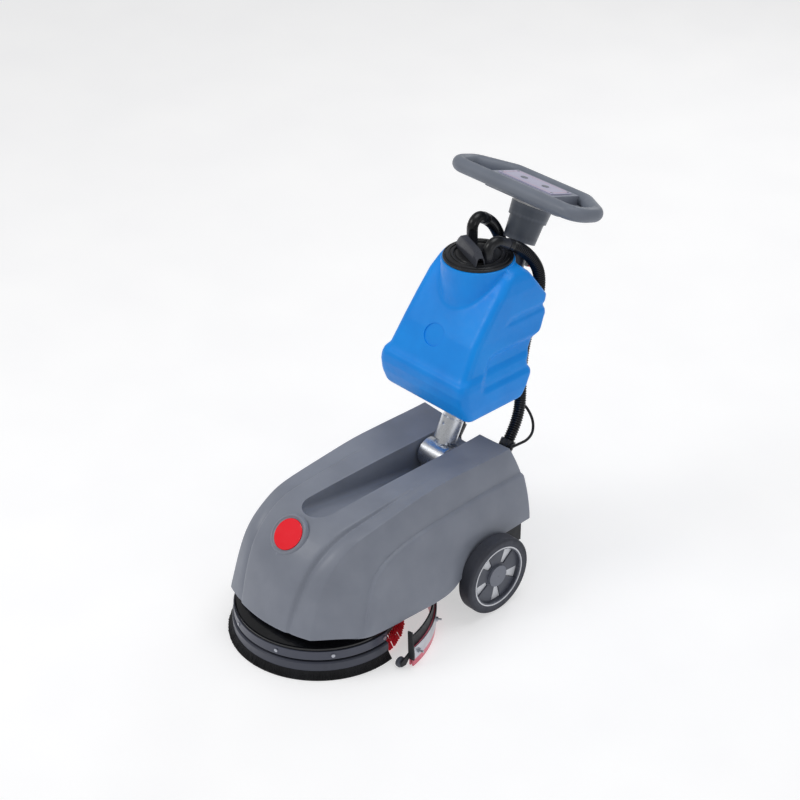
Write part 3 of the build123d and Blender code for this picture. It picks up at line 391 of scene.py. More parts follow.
middle = Vector((0, 0, 0.4))
addLight("keyLight", Vector((-1.6, -2.6, 3.4)), middle, 1.8, 45, (1.0, 0.99, 0.98))
addLight("topLight", Vector((0.2, 0.6, 3.6)), middle, 2.2, 30, (0.96, 0.98, 1.0))
addLight("sideLight", Vector((3.6, -0.4, 1.6)), middle, 1.6, 10, (0.94, 0.97, 1.0))
addLight("backLight", Vector((-1.0, 3.4, 2.2)), middle, 1.6, 16, (1.0, 1.0, 1.0))
world = bpy.data.worlds.new("studioWorld")
bpy.context.scene.world = world
world.use_nodes = True
world.node_tree.nodes["Background"].inputs["Color"].default_value = (1, 1, 1, 1)
world.node_tree.nodes["Background"].inputs["Strength"].default_value = 0.4
floorMesh = bpy.data.meshes.new("studioFloor")
floorMesh.from_pydata([(-14, -14, 0), (14, -14, 0), (14, 14, 0), (-14, 14, 0)], [], [(0, 1, 2, 3)])
floor = showMesh("studioFloor", floorMesh)
floorMaterial, floorTree, floorShader, floorPlace = startMaterial(
    "paleFloor", {"Roughness": 0.8, "Emission Color": (1, 1, 1, 1), "Emission Strength": 0.5}
)
floorTone = spread(floorTree, noiseAt(floorTree, floorPlace, 300, 2.0), 0.0, 1.0)
floorTree.links.new(
    twoTone(floorTree, floorTone, "C8C8CA", "CDCDCE"), floorShader.inputs["Base Color"]
)
floor.data.materials.append(floorMaterial)
print("camera, light and floor ready")

# hoses and cable
hoses = {"radius": 15.0, "ribPitch": 6.0, "ribDepth": 2.4, "cableRadius": 3.5, "elbowTurn": 22.0}
lidTop, lidBack, rearFlange = 806.0, 514.0, 512.0
inletLean = radians(55)
rightBend = ((44.0, lidBack - 12), lidTop + 66, (51.0, lidBack + 46, lidTop + 36))
leftBend = ((-49.0, lidBack + 29), lidTop + 86, (-52.0, lidBack + 68, lidTop + 60))


def pastElbow(bend, distance):
    (x, back), corner, end = bend
    leg = (Vector(end) - Vector((x, back, corner))).normalized()
    return tuple(Vector(end) + leg * distance)


def beforeInlet(x, z, distance):
    return (x, rearFlange + distance * cos(inletLean), z + distance * sin(inletLean))


def besidePole(rear, up):
    spot = onPole(0, rear, up)
    return (0, (spot.y - brushY) / mm, spot.z / mm)


hoseRoutes = {
    "hoseRight": [
        pastElbow(rightBend, 0.3),
        pastElbow(rightBend, 36),
        (61, 630, 788),
        (65, 655, 746),
        (66, 660, 702),
        (64, 654, 662),
        (63, 638, 622),
        (66, 620, 582),
        (71, 604, 540),
        (78, 592, 496),
        (86, 584, 450),
        (93, 576, 406),
        beforeInlet(98, 300, 74),
        beforeInlet(98, 300, 25),
    ],
    "hoseLeft": [
        pastElbow(leftBend, 0.3),
        pastElbow(leftBend, 34),
        (-60, 640, 808),
        (-62, 660, 764),
        (-63, 664, 718),
        (-61, 656, 674),
        (-60, 640, 634),
        (-60, 622, 592),
        (-61, 606, 546),
        (-60, 592, 496),
        (-62, 580, 444),
        (-67, 568, 388),
        beforeInlet(-70, 276, 76),
        beforeInlet(-70, 276, 25),
    ],
    "controlCable": [
        besidePole(33.3, 190),
        besidePole(57, 190),
        (20, 556, 436),
        (50, 582, 424),
        (84, 602, 401),
        (109, 607, 368),
        (124, 594, 342),
        (130, 567, 332),
        (125, 540, 330),
        (124, 513, 330),
    ],
}


# smooth open curve with the route's points as its control points, as sampled points
def routeLine(name, route):
    data = bpy.data.curves.new(name + "Line", "CURVE")
    data.dimensions = "3D"
    line = data.splines.new("NURBS")
    line.points.add(len(route) - 1)
    for point, place in zip(line.points, route):
        point.co = (*at(*place), 1)
    line.order_u = 3
    line.use_endpoint_u = True
    line.resolution_u = 16
    holder = bpy.data.objects.new(name + "Line", data)
    bpy.context.scene.collection.objects.link(holder)
    bpy.context.view_layer.update()
    graph = bpy.context.evaluated_depsgraph_get()
    mesh = bpy.data.meshes.new_from_object(holder.evaluated_get(graph))
    path = [v.co.copy() for v in mesh.vertices]
    bpy.data.objects.remove(holder)
    bpy.data.meshes.remove(mesh)
    return path


# points about pitch apart along a path, both ends kept
def evenPoints(path, pitch):
    lengths = [0.0]
    for a, b in zip(path, path[1:]):
        lengths.append(lengths[-1] + (b - a).length)
    count = max(2, round(lengths[-1] / pitch))
    out, i = [], 0
    for k in range(count + 1):
        want = lengths[-1] * k / count
        while i < len(path) - 2 and lengths[i + 1] < want:
            i += 1
        span = lengths[i + 1] - lengths[i]
        out.append(path[i].lerp(path[i + 1], (want - lengths[i]) / span if span else 0))
    return out, lengths[-1]


# round tube whose radius changes from point to point, with flat ends
def tubeAlong(name, path, radii, count=24):
    last = len(path) - 1
    tangents = [
        (path[min(i + 1, last)] - path[max(i - 1, 0)]).normalized() for i in range(last + 1)
    ]
    normal = tangents[0].cross(sideways).normalized()
    angles = [2 * pi * j / count for j in range(count)]
    rings = []
    for place, tangent, radius in zip(path, tangents, radii):
        normal = (normal - tangent * normal.dot(tangent)).normalized()
        across = tangent.cross(normal)
        rings.append([place + (normal * cos(a) + across * sin(a)) * radius * mm for a in angles])
    return lofted(name, rings)


cordPaths = {name: routeLine(name, route) for name, route in hoseRoutes.items()}
for name, node in (("hoseRight", "hose_right"), ("hoseLeft", "hose_left")):
    path, length = evenPoints(cordPaths[name], hoses["ribPitch"] * mm / 4)
    radii = []
    for i in range(len(path)):
        ends = min(i, len(path) - 1 - i)
        wave = 0.5 + 0.5 * cos(2 * pi * i / 4)
        rib = hoses["radius"] - hoses["ribDepth"] * (1 - wave)
        radii.append(hoses["radius"] - 0.2 if ends < 10 else rib)
    hose = tubeAlong(name, path, radii)
    finishPiece(hose, "hose", None, [node], 60)
    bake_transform(hose)
    print(name, "is", round(length, 3), "m long")
path, length = evenPoints(cordPaths["controlCable"], 3 * mm)
cable = tubeAlong("controlCable", path, [hoses["cableRadius"]] * len(path), 14)
finishPiece(cable, "hose", None, ["control_cable"], 60)
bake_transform(cable)
print("controlCable is", round(length, 3), "m long")

# grey hood
# stations from the front lip to the rear: middle (back, z), crease, step line and lip (x, back, z)
hood = {
    "wall": 4.0,
    "halfWidth": 236.0,
    "halfLength": 338.0,
    "middleBack": 154.0,
    "roomFloor": 20.0,  # level the hollow is closed at
    "troughHalf": 44.0,
    "troughFront": -35.0,
    "badgeLean": 44.0,
    "grooveDepth": 10.0,
    "stepOut": 8.5,
    # rows below the step line that stand proud, and each one's share of stepOut
    "stepRows": ((19, 0.9), (20, 1.0), (21, 0.8), (22, 0.55), (23, 0.3), (24, 0.1)),
    "stations": [
        ((-184, 108), (143, -155, 110), (143, -155, 110), None),
        ((-181, 128), (142, -149, 130), (156, -140, 110), None),
        ((-174, 162), (141, -139, 165), (172, -116, 109), None),
        ((-163, 201), (141, -125, 205), (196, -84, 108), None),
        ((-146, 243), (142, -106, 245), (219, -60, 108), (220, -59, 107.5)),
        ((-122, 279), (143, -80, 276), (210, -40, 181), (226, -34, 107)),
        ((-86, 311), (144, -48, 299), (200, -24, 208), (229, -4, 107)),
        ((-38, 334), (147, -8, 319), (191, -7, 233), (231, 30, 107)),
        ((12, 338), (149, 32, 327), (184, 28, 254), (232, 64, 107)),
        ((84, 339), (148, 92, 335), (178, 84, 270), (234, 112, 107)),
        ((158, 340), (146, 166, 345), (174, 154, 278), (236, 172, 107)),
        ((220, 340), (146, 224, 351), (173, 206, 280), (233, 222, 111)),
        ((262, 340), (146, 262, 353), (173, 250, 281), (224, 262, 134)),
        ((300, 340), (146, 302, 353), (172, 290, 283), (218, 294, 157)),
        ((360, 340), (147, 360, 352), (171, 350, 286), (214, 344, 168)),
        ((420, 340), (147, 420, 351), (171, 416, 287), (212, 414, 173)),
        ((474, 341), (148, 470, 350), (171, 476, 287), (211, 472, 174)),
        ((492, 343), (147, 487, 352), (172, 504, 286), (211, 497, 175)),
    ],
    # the groove's place as a share of the way from the middle to the crease, and how deep it runs
    "groove": [0.57, 0.58, 0.6, 0.62, 0.65, 0.68, 0.7, 0.715, 0.72, 0.72, 0.715] + [0.71] * 7,
    "grooveFade": [0.35, 0.6, 0.9, 1, 1, 1, 1, 1, 0.9, 0.7, 0.45, 0.2] + [0.0] * 6,
}


def mixed(a, b, t):
    return tuple(p + (q - p) * t for p, q in zip(a, b))


# points from the middle to the crease at one station, groove included
def hoodRow(index):
    stations = hood["stations"]
    (back, z), crease, _, _ = stations[index]
    before, after = stations[max(index - 1, 0)][0], stations[min(index + 1, len(stations) - 1)][0]
    slope = Vector((after[0] - before[0], after[1] - before[1])).normalized()
    outward = Vector((-slope.y, slope.x))
    g = hood["groove"][index]
    fade = hood["grooveFade"][index] * hood["grooveDepth"]
    shares = [
        (0.0, 0.0), (0.16, 0.0), (0.34, 0.0), (g - 0.16, 0.0),
        (g - 0.05, 0.12), (g - 0.015, 0.0), (g + 0.012, -1.0), (g + 0.05, -0.75),
        (g + 0.14, -0.12), (0.94, 0.0), (0.985, 0.0), (1.0, 0.0),
    ]
    row = []
    for share, depth in shares:
        bend = share**2
        y = back + (crease[1] - back) * bend + outward.x * depth * fade
        height = z + (crease[2] - z) * bend + outward.y * depth * fade
        row.append((share * crease[0], y, height))
    return row


# points from the crease down to the lip at one station, the step included
def sideRow(index):
    _, crease, step, lip = hood["stations"][index]
    row = []
    for share in (0.03, 0.1, 0.35, 0.65, 0.9, 0.975):
        x, y, z = mixed(crease, step, share)
        row.append((x + 14 * share * (1 - share) * min(1, index / 4), y, z))
    row.append(step)
    if lip is None:
        row += [step] * 7
        return row
    length = (Vector(lip) - Vector(step)).length
    for reach in (2.5, 8.0):
        row.append(mixed(step, lip, min(reach / max(length, 1), 0.4)))
    for share in (0.35, 0.6, 0.85, 0.97, 1.0):
        x, y, z = mixed(step, lip, share)
        bulge = 16 * share * (1 - share)
        row.append((x + bulge, y, z))
    return row


# outer skin as a control mesh of quads, both sides, with the rear face
def hoodSurface():
    flat = [hoodRow(i) + sideRow(i) for i in range(len(hood["stations"]))]
    half = [list(row) for row in flat]
    width = len(half[0])
    # the panel below the step line stands proud, fading towards the lip
    for i in range(5, len(flat)):
        for j, share in hood["stepRows"]:
            along = Vector(flat[min(i + 1, len(flat) - 1)][j]) - Vector(flat[i - 1][j])
            down = Vector(flat[i][min(j + 1, width - 1)]) - Vector(flat[i][j - 1])
            normal = along.cross(down)
            if normal.length < 1e-6:
                continue
            normal = Vector((normal.x, normal.y, 0)).normalized() * (1 if normal.x > 0 else -1)
            push = hood["stepOut"] * share
            half[i][j] = tuple(Vector(flat[i][j]) + normal * push)
    points, faces = [], []
    for sign in (1, -1):
        base = len(points)
        points += [at(sign * x, y, z) for row in half for x, y, z in row]
        for i in range(len(half) - 1):
            for j in range(width - 1):
                a = base + i * width + j
                faces.append((a, a + 1, a + width + 1, a + width))
    # rear face: columns under the top row, rows down the side's rear edge
    topRow, rearEdge = hoodRow(len(half) - 1), sideRow(len(half) - 1)
    columns = [(x / topRow[-1][0], (x, y, z)) for x, y, z in topRow]
    for sign in (1, -1):
        base = len(points)
        for share, top in columns:
            points.append(at(sign * top[0], top[1], top[2]))
            for x, y, z in rearEdge:
                sink = (topRow[-1][2] - top[2]) * max(0, (z - 240) / 110)
                swell = 5 * (1 - share**2) * (350 - z) / 350
                points.append(at(sign * x * share, y + swell, z - sink))
        size = len(rearEdge) + 1
        for i in range(len(columns) - 1):
            for j in range(size - 1):
                a = base + i * size + j
                faces.append((a, a + 1, a + size + 1, a + size))
    return points, faces


def cleaned(mesh, distance=2e-4):
    work = bmesh.new()
    work.from_mesh(mesh)
    bmesh.ops.remove_doubles(work, verts=work.verts, dist=distance)
    bmesh.ops.dissolve_degenerate(work, dist=1e-6, edges=work.edges)
    bmesh.ops.recalc_face_normals(work, faces=work.faces)
    return work


# caps the lip, after running it straight down to a level if asked
def closeBelow(piece, level=None):
    work = cleaned(piece.data, 1e-6)
    if level is not None:
        rim = [e for e in work.edges if e.is_boundary]
        added = bmesh.ops.extrude_edge_only(work, edges=rim)["geom"]
        for v in (v for v in added if isinstance(v, bmesh.types.BMVert)):
            v.co.z = level * mm
    rim = [e for e in work.edges if e.is_boundary]
    bmesh.ops.triangle_fill(work, use_beauty=True, use_dissolve=False, edges=rim)
    bmesh.ops.recalc_face_normals(work, faces=work.faces)
    work.to_mesh(piece.data)
    work.free()
    return piece


# space of the trough, rounded at its front, with a floor that drops towards the pivot
def troughCutter(name, grow):
    floorLine = [(-90, 323), (20, 304), (330, 264), (345, 256), (446, 256), (476, 286), (600, 286)]

    def floorAt(back):
        for (a, za), (b, zb) in zip(floorLine, floorLine[1:]):
            if back <= b:
                return za + (zb - za) * (back - a) / (b - a) - grow
        return floorLine[-1][1] - grow

    half, front = hood["troughHalf"] + grow, hood["troughFront"] - grow
    backs = [front + half * (1 - cos(radians(a))) for a in (4, 12, 22, 34, 46, 58, 70, 80, 90)]
    backs += [40, 100, 160, 220, 280, 326, 332, 338, 345, 380, 420, 446, 456, 466, 476, 500, 560]
    rings = []
    for back in backs:
        reach = min(1, (back - front) / half)
        width = half * sqrt(max(0, 1 - (1 - reach) ** 2))
        low = floorAt(back)
        bend = min(14.0, width * 0.6)
        ring = [(width, 420), (width, low + bend)]
        ring += [
            (width - bend + bend * cos(radians(a)), low + bend - bend * sin(radians(a)))
            for a in (22, 45, 68, 90)
        ]
        ring += [(-x, z) for x, z in reversed(ring)]
        rings.append([at(x, back, z) for x, z in ring])
    return lofted(name, rings)


hoodPoints, hoodFaces = hoodSurface()
hoodShell = makePiece("hood", hoodPoints, hoodFaces)
work = cleaned(hoodShell.data, 1e-4)
work.to_mesh(hoodShell.data)
work.free()
modify(hoodShell, "SUBSURF", levels=2, render_levels=2)
settle(hoodShell)
inner = hoodShell.copy()
inner.data = hoodShell.data.copy()
bpy.context.scene.collection.objects.link(inner)
midBack = at(0, hood["middleBack"], 0).y
narrower = 1 - hood["wall"] / hood["halfWidth"]
shorter = 1 - hood["wall"] / hood["halfLength"]
for vertex in inner.data.vertices:
    vertex.co.x *= narrower
    vertex.co.y = midBack + (vertex.co.y - midBack) * shorter
    vertex.co.z -= hood["wall"] * mm
closeBelow(hoodShell)
closeBelow(inner, hood["roomFloor"])
print("hood skins ready")
badgeUp = Vector((0, -sin(radians(hood["badgeLean"])), cos(radians(hood["badgeLean"]))))
badgeCentre = at(0, -93, 306)
badgeRoom = [(0, -20), (53, -20), (53, 40), (0, 40)]
badgeSeat = [(0, -4.0), (45.5, -4.0), (48.5, -1.0), (52, 30), (0, 30)]
cut(inner, [
    troughCutter("troughRoom", hood["wall"]),
    turned("badgeRoom", badgeRoom, badgeCentre, badgeUp, 64),
])
cutters = [
    inner,
    troughCutter("trough", 0),
    turned("badgeSeat", badgeSeat, badgeCentre, badgeUp),
]
cut(hoodShell, cutters)
print("hood cut:", len(hoodShell.data.polygons), "faces")
finishPiece(hoodShell, "shell", "chassis", ["body_shell"], 26)

# grey lip round the badge
ringProfile = softCorners([
    (39.2, -9), (39.2, -2.5), (42.5, -2.5), (44, 0.2),
    (46.5, 0.4), (49.5, -2.5), (52, -9), (39.2, -9),
], 0.8, 2)
badgeRing = turned("badgeRing", ringProfile, badgeCentre, badgeUp)
finishPiece(badgeRing, "shell", "chassis", [], 30)

# blue tank: level slices of a rounded box joined softly to a round neck
tank = {
    "bottom": 470.0,
    "top": 806.0,
    "neckRadius": 88.0,
    "neckSoftness": 6.5,
    "frontCorner": 21.0,
    "rearCorner": 15.0,
    "bottomRound": 17.0,
    # depth, then where each dent fades in behind the front, fades in upwards and fades out
    "sideDents": (
        (7.5, (58, 84), (538, 552), (610, 628)),
        (3.0, (70, 100), (672, 682), (688, 700)),
    ),
    "around": 240,
    # height against the front, the rear and the half width
    "front": [
        (463, 353), (490, 341), (520, 330), (548, 325), (566, 327), (575, 331), (582, 340),
        (590, 346), (652, 384), (702, 423), (750, 463), (788, 500), (802, 526), (806, 540),
    ],
    "rear": [
        (463, 523), (532, 560), (544, 562), (556, 557), (564, 557), (614, 586), (624, 606),
        (632, 612), (664, 627), (675, 626), (686, 622), (698, 627), (712, 630), (748, 603),
        (785, 578), (802, 560), (806, 552),
    ],
    "half": [
        (463, 138), (485, 145), (510, 147), (560, 144), (576, 140), (588, 132), (652, 125),
        (702, 123.5), (750, 122), (775, 117), (788, 112), (798, 103), (803, 90), (806, 76),
    ],
}


def valueAt(table, z):
    for (za, a), (zb, b) in zip(table, table[1:]):
        if z <= zb:
            t = min(1, max(0, (z - za) / (zb - za)))
            return a + (b - a) * t
    return table[-1][1]


def eased(low, high, value):
    t = min(1, max(0, (value - low) / (high - low)))
    return t * t * (3 - 2 * t)


# below zero inside the tank at one level, with the neck's circle blended in
def tankDistance(x, y, z, front, rear, half):
    middle, depth = (front + rear) / 2, (rear - front) / 2
    corner = min(tank["frontCorner"] if y < middle else tank["rearCorner"], depth * 0.9, half * 0.9)
    dents = sum(
        deep * eased(*behind, y - front) * eased(*below, z) * (1 - eased(*above, z))
        for deep, behind, below, above in tank["sideDents"]
    )
    qx, qy = abs(x) - (half - dents - corner), abs(y - middle) - (depth - corner)
    box = sqrt(max(qx, 0) ** 2 + max(qy, 0) ** 2) + min(max(qx, qy), 0) - corner
    if z < 600:
        return box
    neck = sqrt(x * x + (y - lidBack) ** 2) - tank["neckRadius"]
    soft = tank["neckSoftness"]
    share = max(soft - abs(box - neck), 0) / soft
    return min(box, neck) - share * share * soft * 0.25


def tankRing(z, inset=0.0):
    front, rear, half = (valueAt(tank[key], z) for key in ("front", "rear", "half"))
    heart = 438 + (lidBack - 438) * eased(480, 700, z)
    ring = []
    for i in range(tank["around"]):
        angle = 2 * pi * i / tank["around"]
        dx, dy = sin(angle), -cos(angle)
        low, high = 5.0, 260.0
        for _ in range(15):
            reach = (low + high) / 2
            if tankDistance(dx * reach, heart + dy * reach, z, front, rear, half) < -inset:
                low = reach
            else:
                high = reach
        ring.append(at(dx * low, heart + dy * low, z))
    return ring


tankRings = []
for step in range(7):
    angle = radians(90 * step / 6)
    rise = tank["bottomRound"] * (1 - cos(angle))
    tankRings.append(tankRing(tank["bottom"] + rise, tank["bottomRound"] * (1 - sin(angle))))
levels = [490 + 3.4 * i for i in range(91)]
tankRings += [tankRing(z) for z in levels if z < 801]
tankAngles = [2 * pi * i / tank["around"] for i in range(tank["around"])]
for inset, z in ((0, 802.5), (0.9, 805.1), (3, 806)):
    radius = tank["neckRadius"] - inset
    tankRings.append([at(radius * sin(a), lidBack - radius * cos(a), z) for a in tankAngles])
tankShell = lofted("tankShell", tankRings)


# box in the pole's frame: from low to high across, rearwards and up
def poleBlock(name, low, high):
    across, rearwards, upwards = zip(low, high)
    points = [onPole(x, w, h) for x in across for w in rearwards for h in upwards]
    faces = [(0, 1, 3, 2), (4, 6, 7, 5), (0, 4, 5, 1), (2, 3, 7, 6), (0, 2, 6, 4), (1, 5, 7, 3)]
    return makePiece(name, points, faces)


# oval recess in the leaning front
oval = {
    "centre": (-8, 380.5, 645),
    "lean": (35, 56),  # how far the front runs back while it rises
    "halfAcross": 31.0,
    "halfUp": 28.5,
    "around": 72,
    # depth from the front against how much wider the oval is there
    "rims": ((-2.4, -1.2), (0.4, 0.0), (30, 0.0)),
}
leanBack, leanUp = oval["lean"]
ovalOut = Vector((0, -leanUp, leanBack)).normalized()
ovalUp = Vector((0, leanBack, leanUp)).normalized()


def ovalPoint(angle, depth, widen):
    across = sideways * (oval["halfAcross"] + widen) * cos(angle)
    up = ovalUp * (oval["halfUp"] + widen) * sin(angle)
    return at(*oval["centre"]) + across * mm + up * mm + ovalOut * depth * mm


ovalAngles = [2 * pi * i / oval["around"] for i in range(oval["around"])]
ovalCutter = lofted(
    "ovalSeat", [[ovalPoint(a, depth, widen) for a in ovalAngles] for depth, widen in oval["rims"]]
)
cut(tankShell, [poleBlock("poleRoom", (-37, -35, 120), (37, 220, 600)), ovalCutter])
finishPiece(tankShell, "tank", "pole", ["tank_shell"], 40)
print("tank ready:", len(tankShell.data.polygons), "faces")

# screw lid with its grip bar
lid = {"radius": 84.0, "gripLength": 116.0, "gripTurn": -22.0, "gripHeight": 35.0}
lidProfile = softCorners([
    (0.01, 9.5), (40, 9.5), (53, 9.5), (54, 7.2), (57, 7.2), (58, 10.5), (64, 10.5),
    (65, 7.8), (68, 7.8), (69, 10), (76, 8.6), (77, 5.5), (79, 5.5), (80, 7), (83, 6.2),
    (84, 5), (84, 1.0), (83, 0), (0.01, 0),
], 0.7, 2)
lidDisc = turned("lidDisc", lidProfile, at(0, lidBack, lidTop), upright, 128)
finishPiece(lidDisc, "lid", "pole", ["tank_lid"], 30)
gripTurn = Matrix.Rotation(radians(lid["gripTurn"]), 4, "Z")
gripSpot = at(-3, lidBack - 22, lidTop + 9)


def gripPoint(along, across, up):
    return gripSpot + gripTurn @ Vector((along * mm, across * mm, up * mm))


def gripBlock(name, sections):
    rings = [[gripPoint(along, *spot) for spot in outline] for along, outline in sections]
    return lofted(name, rings)


def gripOutline(shrink, height):
    return [(-13 + shrink, -1), (-10 + shrink, height - 5 - shrink), (-7 + shrink, height - shrink),
            (7 - shrink, height - shrink), (10 - shrink, height - 5 - shrink), (13 - shrink, -1)]


end = lid["gripLength"] / 2
grip = gripBlock("lidGrip", [
    (-end, gripOutline(0, 20)), (-end + 14, gripOutline(0, lid["gripHeight"] - 2)),
    (-end + 24, gripOutline(0, lid["gripHeight"])), (end - 24, gripOutline(0, lid["gripHeight"])),
    (end - 14, gripOutline(0, lid["gripHeight"] - 2)), (end, gripOutline(0, 20)),
])
pockets = []
for sign in (-1, 1):
    sections = [(sign * (end - 24), gripOutline(2.6, 28)), (sign * (end + 4), gripOutline(2.6, 22))]
    pockets.append(gripBlock("gripPocket", sections if sign > 0 else sections[::-1]))
cut(grip, pockets)
modify(grip, "BEVEL", width=0.0009, segments=2, limit_method="ANGLE", angle_limit=radians(28))
settle(grip)
finishPiece(grip, "lid", "pole", [], 35)
print("lid ready")

# rings of tufts: cones on an arc that hang down and lean outwards, with a seeded scatter
tuftNodes = bpy.data.node_groups.new("tuftRing", "GeometryNodeTree")
tuftSockets = {
    label: tuftNodes.interface.new_socket(label, in_out="INPUT", socket_type="NodeSocket" + kind)
    for label, kind in (
        ("Place", "Vector"), ("Radius", "Float"), ("Start", "Float"), ("Sweep", "Float"),
        ("Count", "Int"), ("Length", "Float"), ("Root", "Float"), ("Tip", "Float"),
        ("Lean", "Float"), ("Scatter", "Float"), ("Seed", "Int"), ("Finish", "Material"),
    )
}
tuftNodes.interface.new_socket("Tufts", in_out="OUTPUT", socket_type="NodeSocketGeometry")
given = addNode(tuftNodes, "NodeGroupInput").outputs
arc = addNode(tuftNodes, "GeometryNodeCurveArc", {"Resolution": 180},
              {"Radius": given["Radius"], "Start Angle": given["Start"],
               "Sweep Angle": given["Sweep"]})
spots = addNode(tuftNodes, "GeometryNodeCurveToPoints", {"mode": "COUNT"},
                {"Curve": arc.outputs["Curve"], "Count": given["Count"]})
tuft = addNode(tuftNodes, "GeometryNodeMeshCone", {"Vertices": 6},
               {"Radius Top": given["Tip"], "Radius Bottom": given["Root"],
                "Depth": given["Length"]})
chance = addNode(tuftNodes, "FunctionNodeRandomValue",
                 {"data_type": "FLOAT_VECTOR", 0: (-1, -1, -1), 1: (1, 1, 1)},
                 {"Seed": given["Seed"]})
swing = addNode(tuftNodes, "ShaderNodeVectorMath", {"operation": "SCALE"},
                {0: chance.outputs[0], "Scale": given["Scatter"]})
parts = addNode(tuftNodes, "ShaderNodeSeparateXYZ", {}, {0: swing.outputs["Vector"]})
spot = addNode(tuftNodes, "GeometryNodeInputPosition")
around = addNode(tuftNodes, "ShaderNodeSeparateXYZ", {}, {0: spot.outputs["Position"]})
heading = addNode(tuftNodes, "ShaderNodeMath", {"operation": "ARCTAN2"},
                  {0: around.outputs["Y"], 1: around.outputs["X"]})
hang = addNode(tuftNodes, "ShaderNodeMath", {"operation": "SUBTRACT", 0: pi}, {1: given["Lean"]})
sway = addNode(tuftNodes, "ShaderNodeMath", {"operation": "ADD"},
               {0: hang.outputs["Value"], 1: parts.outputs["Y"]})
turnBy = addNode(tuftNodes, "ShaderNodeCombineXYZ", {},
                 {"X": parts.outputs["X"], "Y": sway.outputs["Value"],
                  "Z": heading.outputs["Value"]})
sizeBy = addNode(tuftNodes, "ShaderNodeMath", {"operation": "ADD", 0: 0.98},
                 {1: parts.outputs["Z"]})
placed = addNode(tuftNodes, "GeometryNodeInstanceOnPoints", {},
                 {"Points": spots.outputs["Points"], "Instance": tuft.outputs["Mesh"],
                  "Rotation": turnBy.outputs["Vector"], "Scale": sizeBy.outputs["Value"]})
moved = addNode(tuftNodes, "GeometryNodeTransform", {},
                {"Geometry": placed.outputs["Instances"], "Translation": given["Place"]})
real = addNode(tuftNodes, "GeometryNodeRealizeInstances", {},
               {"Geometry": moved.outputs["Geometry"]})
finished = addNode(tuftNodes, "GeometryNodeSetMaterial", {},
                   {"Geometry": real.outputs["Geometry"], "Material": given["Finish"]})
result = addNode(tuftNodes, "NodeGroupOutput")
tuftNodes.links.new(finished.outputs["Geometry"], result.inputs["Tufts"])


def growTufts(name, rings, finish):
    holder = showMesh(name, bpy.data.meshes.new(name))
    work = bmesh.new()
    for ring in rings:
        modifier = holder.modifiers.new("tufts", "NODES")
        modifier.node_group = tuftNodes
        for label, value in ring.items():
            modifier[tuftSockets[label].identifier] = value
        modifier[tuftSockets["Finish"].identifier] = finishes[finish]
        bpy.context.view_layer.update()
        graph = bpy.context.evaluated_depsgraph_get()
        mesh = bpy.data.meshes.new_from_object(holder.evaluated_get(graph))
        work.from_mesh(mesh)
        holder.modifiers.remove(modifier)
        bpy.data.meshes.remove(mesh)
    work.to_mesh(holder.data)
    work.free()
    return holder


skirt = {"top": 21.0, "root": 209.6, "lean": 30.0, "length": 22.0, "halfAngle": 97.5, "count": 430}
skirtRings = [
    {
        "Place": tuple(at(0, 0, skirt["top"])),
        "Radius": (skirt["root"] - inward) * mm,
        "Start": radians(-90 - skirt["halfAngle"]),
        "Sweep": radians(2 * skirt["halfAngle"]),
        "Count": skirt["count"],
        "Length": (skirt["length"] - inward * 0.3) * mm,
        "Root": 1.3 * mm,
        "Tip": 0.75 * mm,
        "Lean": radians(skirt["lean"] - inward),
        "Scatter": 0.07,
        "Seed": 11 + index,
    }
    for index, inward in enumerate((0.0, 0.8, 2.2))
]
skirtTufts = growTufts("skirtTufts", skirtRings, "bristleBlack")
finishPiece(skirtTufts, "bristleBlack", "chassis", [], 60)

# red tufts on the turning brush: each row's radius, count and outward lean
brushRows = [
    (187, 132, 25), (176, 118, 20), (160, 104, 14), (142, 92, 8),
    (124, 80, 4), (106, 68, 0), (88, 56, 0), (70, 44, 0),
]
brushRings = [
    {
        "Place": tuple(at(0, 0, 30.5)),
        "Radius": radius * mm,
        "Start": radians(index * 1.3),
        "Sweep": radians(360 - 360 / count),
        "Count": count,
        "Length": 27.5 / cos(radians(lean)) * mm,
        "Root": 1.8 * mm,
        "Tip": 4.0 * mm,
        "Lean": radians(lean),
        "Scatter": 0.05,
        "Seed": 31 + index,
    }
    for index, (radius, count, lean) in enumerate(brushRows)
]
brushTufts = growTufts("brushTufts", brushRings, "bristleRed")
finishPiece(brushTufts, "bristleRed", "brush", ["brush_bristles"], 60)
print("bristles ready:", len(skirtTufts.data.polygons), len(brushTufts.data.polygons), "faces")

# turned discs on the pivot's ears, with their rings
discProfile = softCorners([
    (0.01, 2.2), (6, 2.2), (7.5, 0.8), (10, 0.8), (11, 1.8), (20, 1.8), (21, 0.5),
    (24, 0.5), (25, 1.6), (33, 1.6), (35, 0.4), (36, -0.6), (36, -2.0), (0.01, -2.0),
], 0.5, 2)
for sign in (-1, 1):
    disc = turned("pivotDisc", discProfile, at(sign * 36, 392, 303), sideways * sign)
    finishPiece(disc, "chrome", "chassis", [], 28)

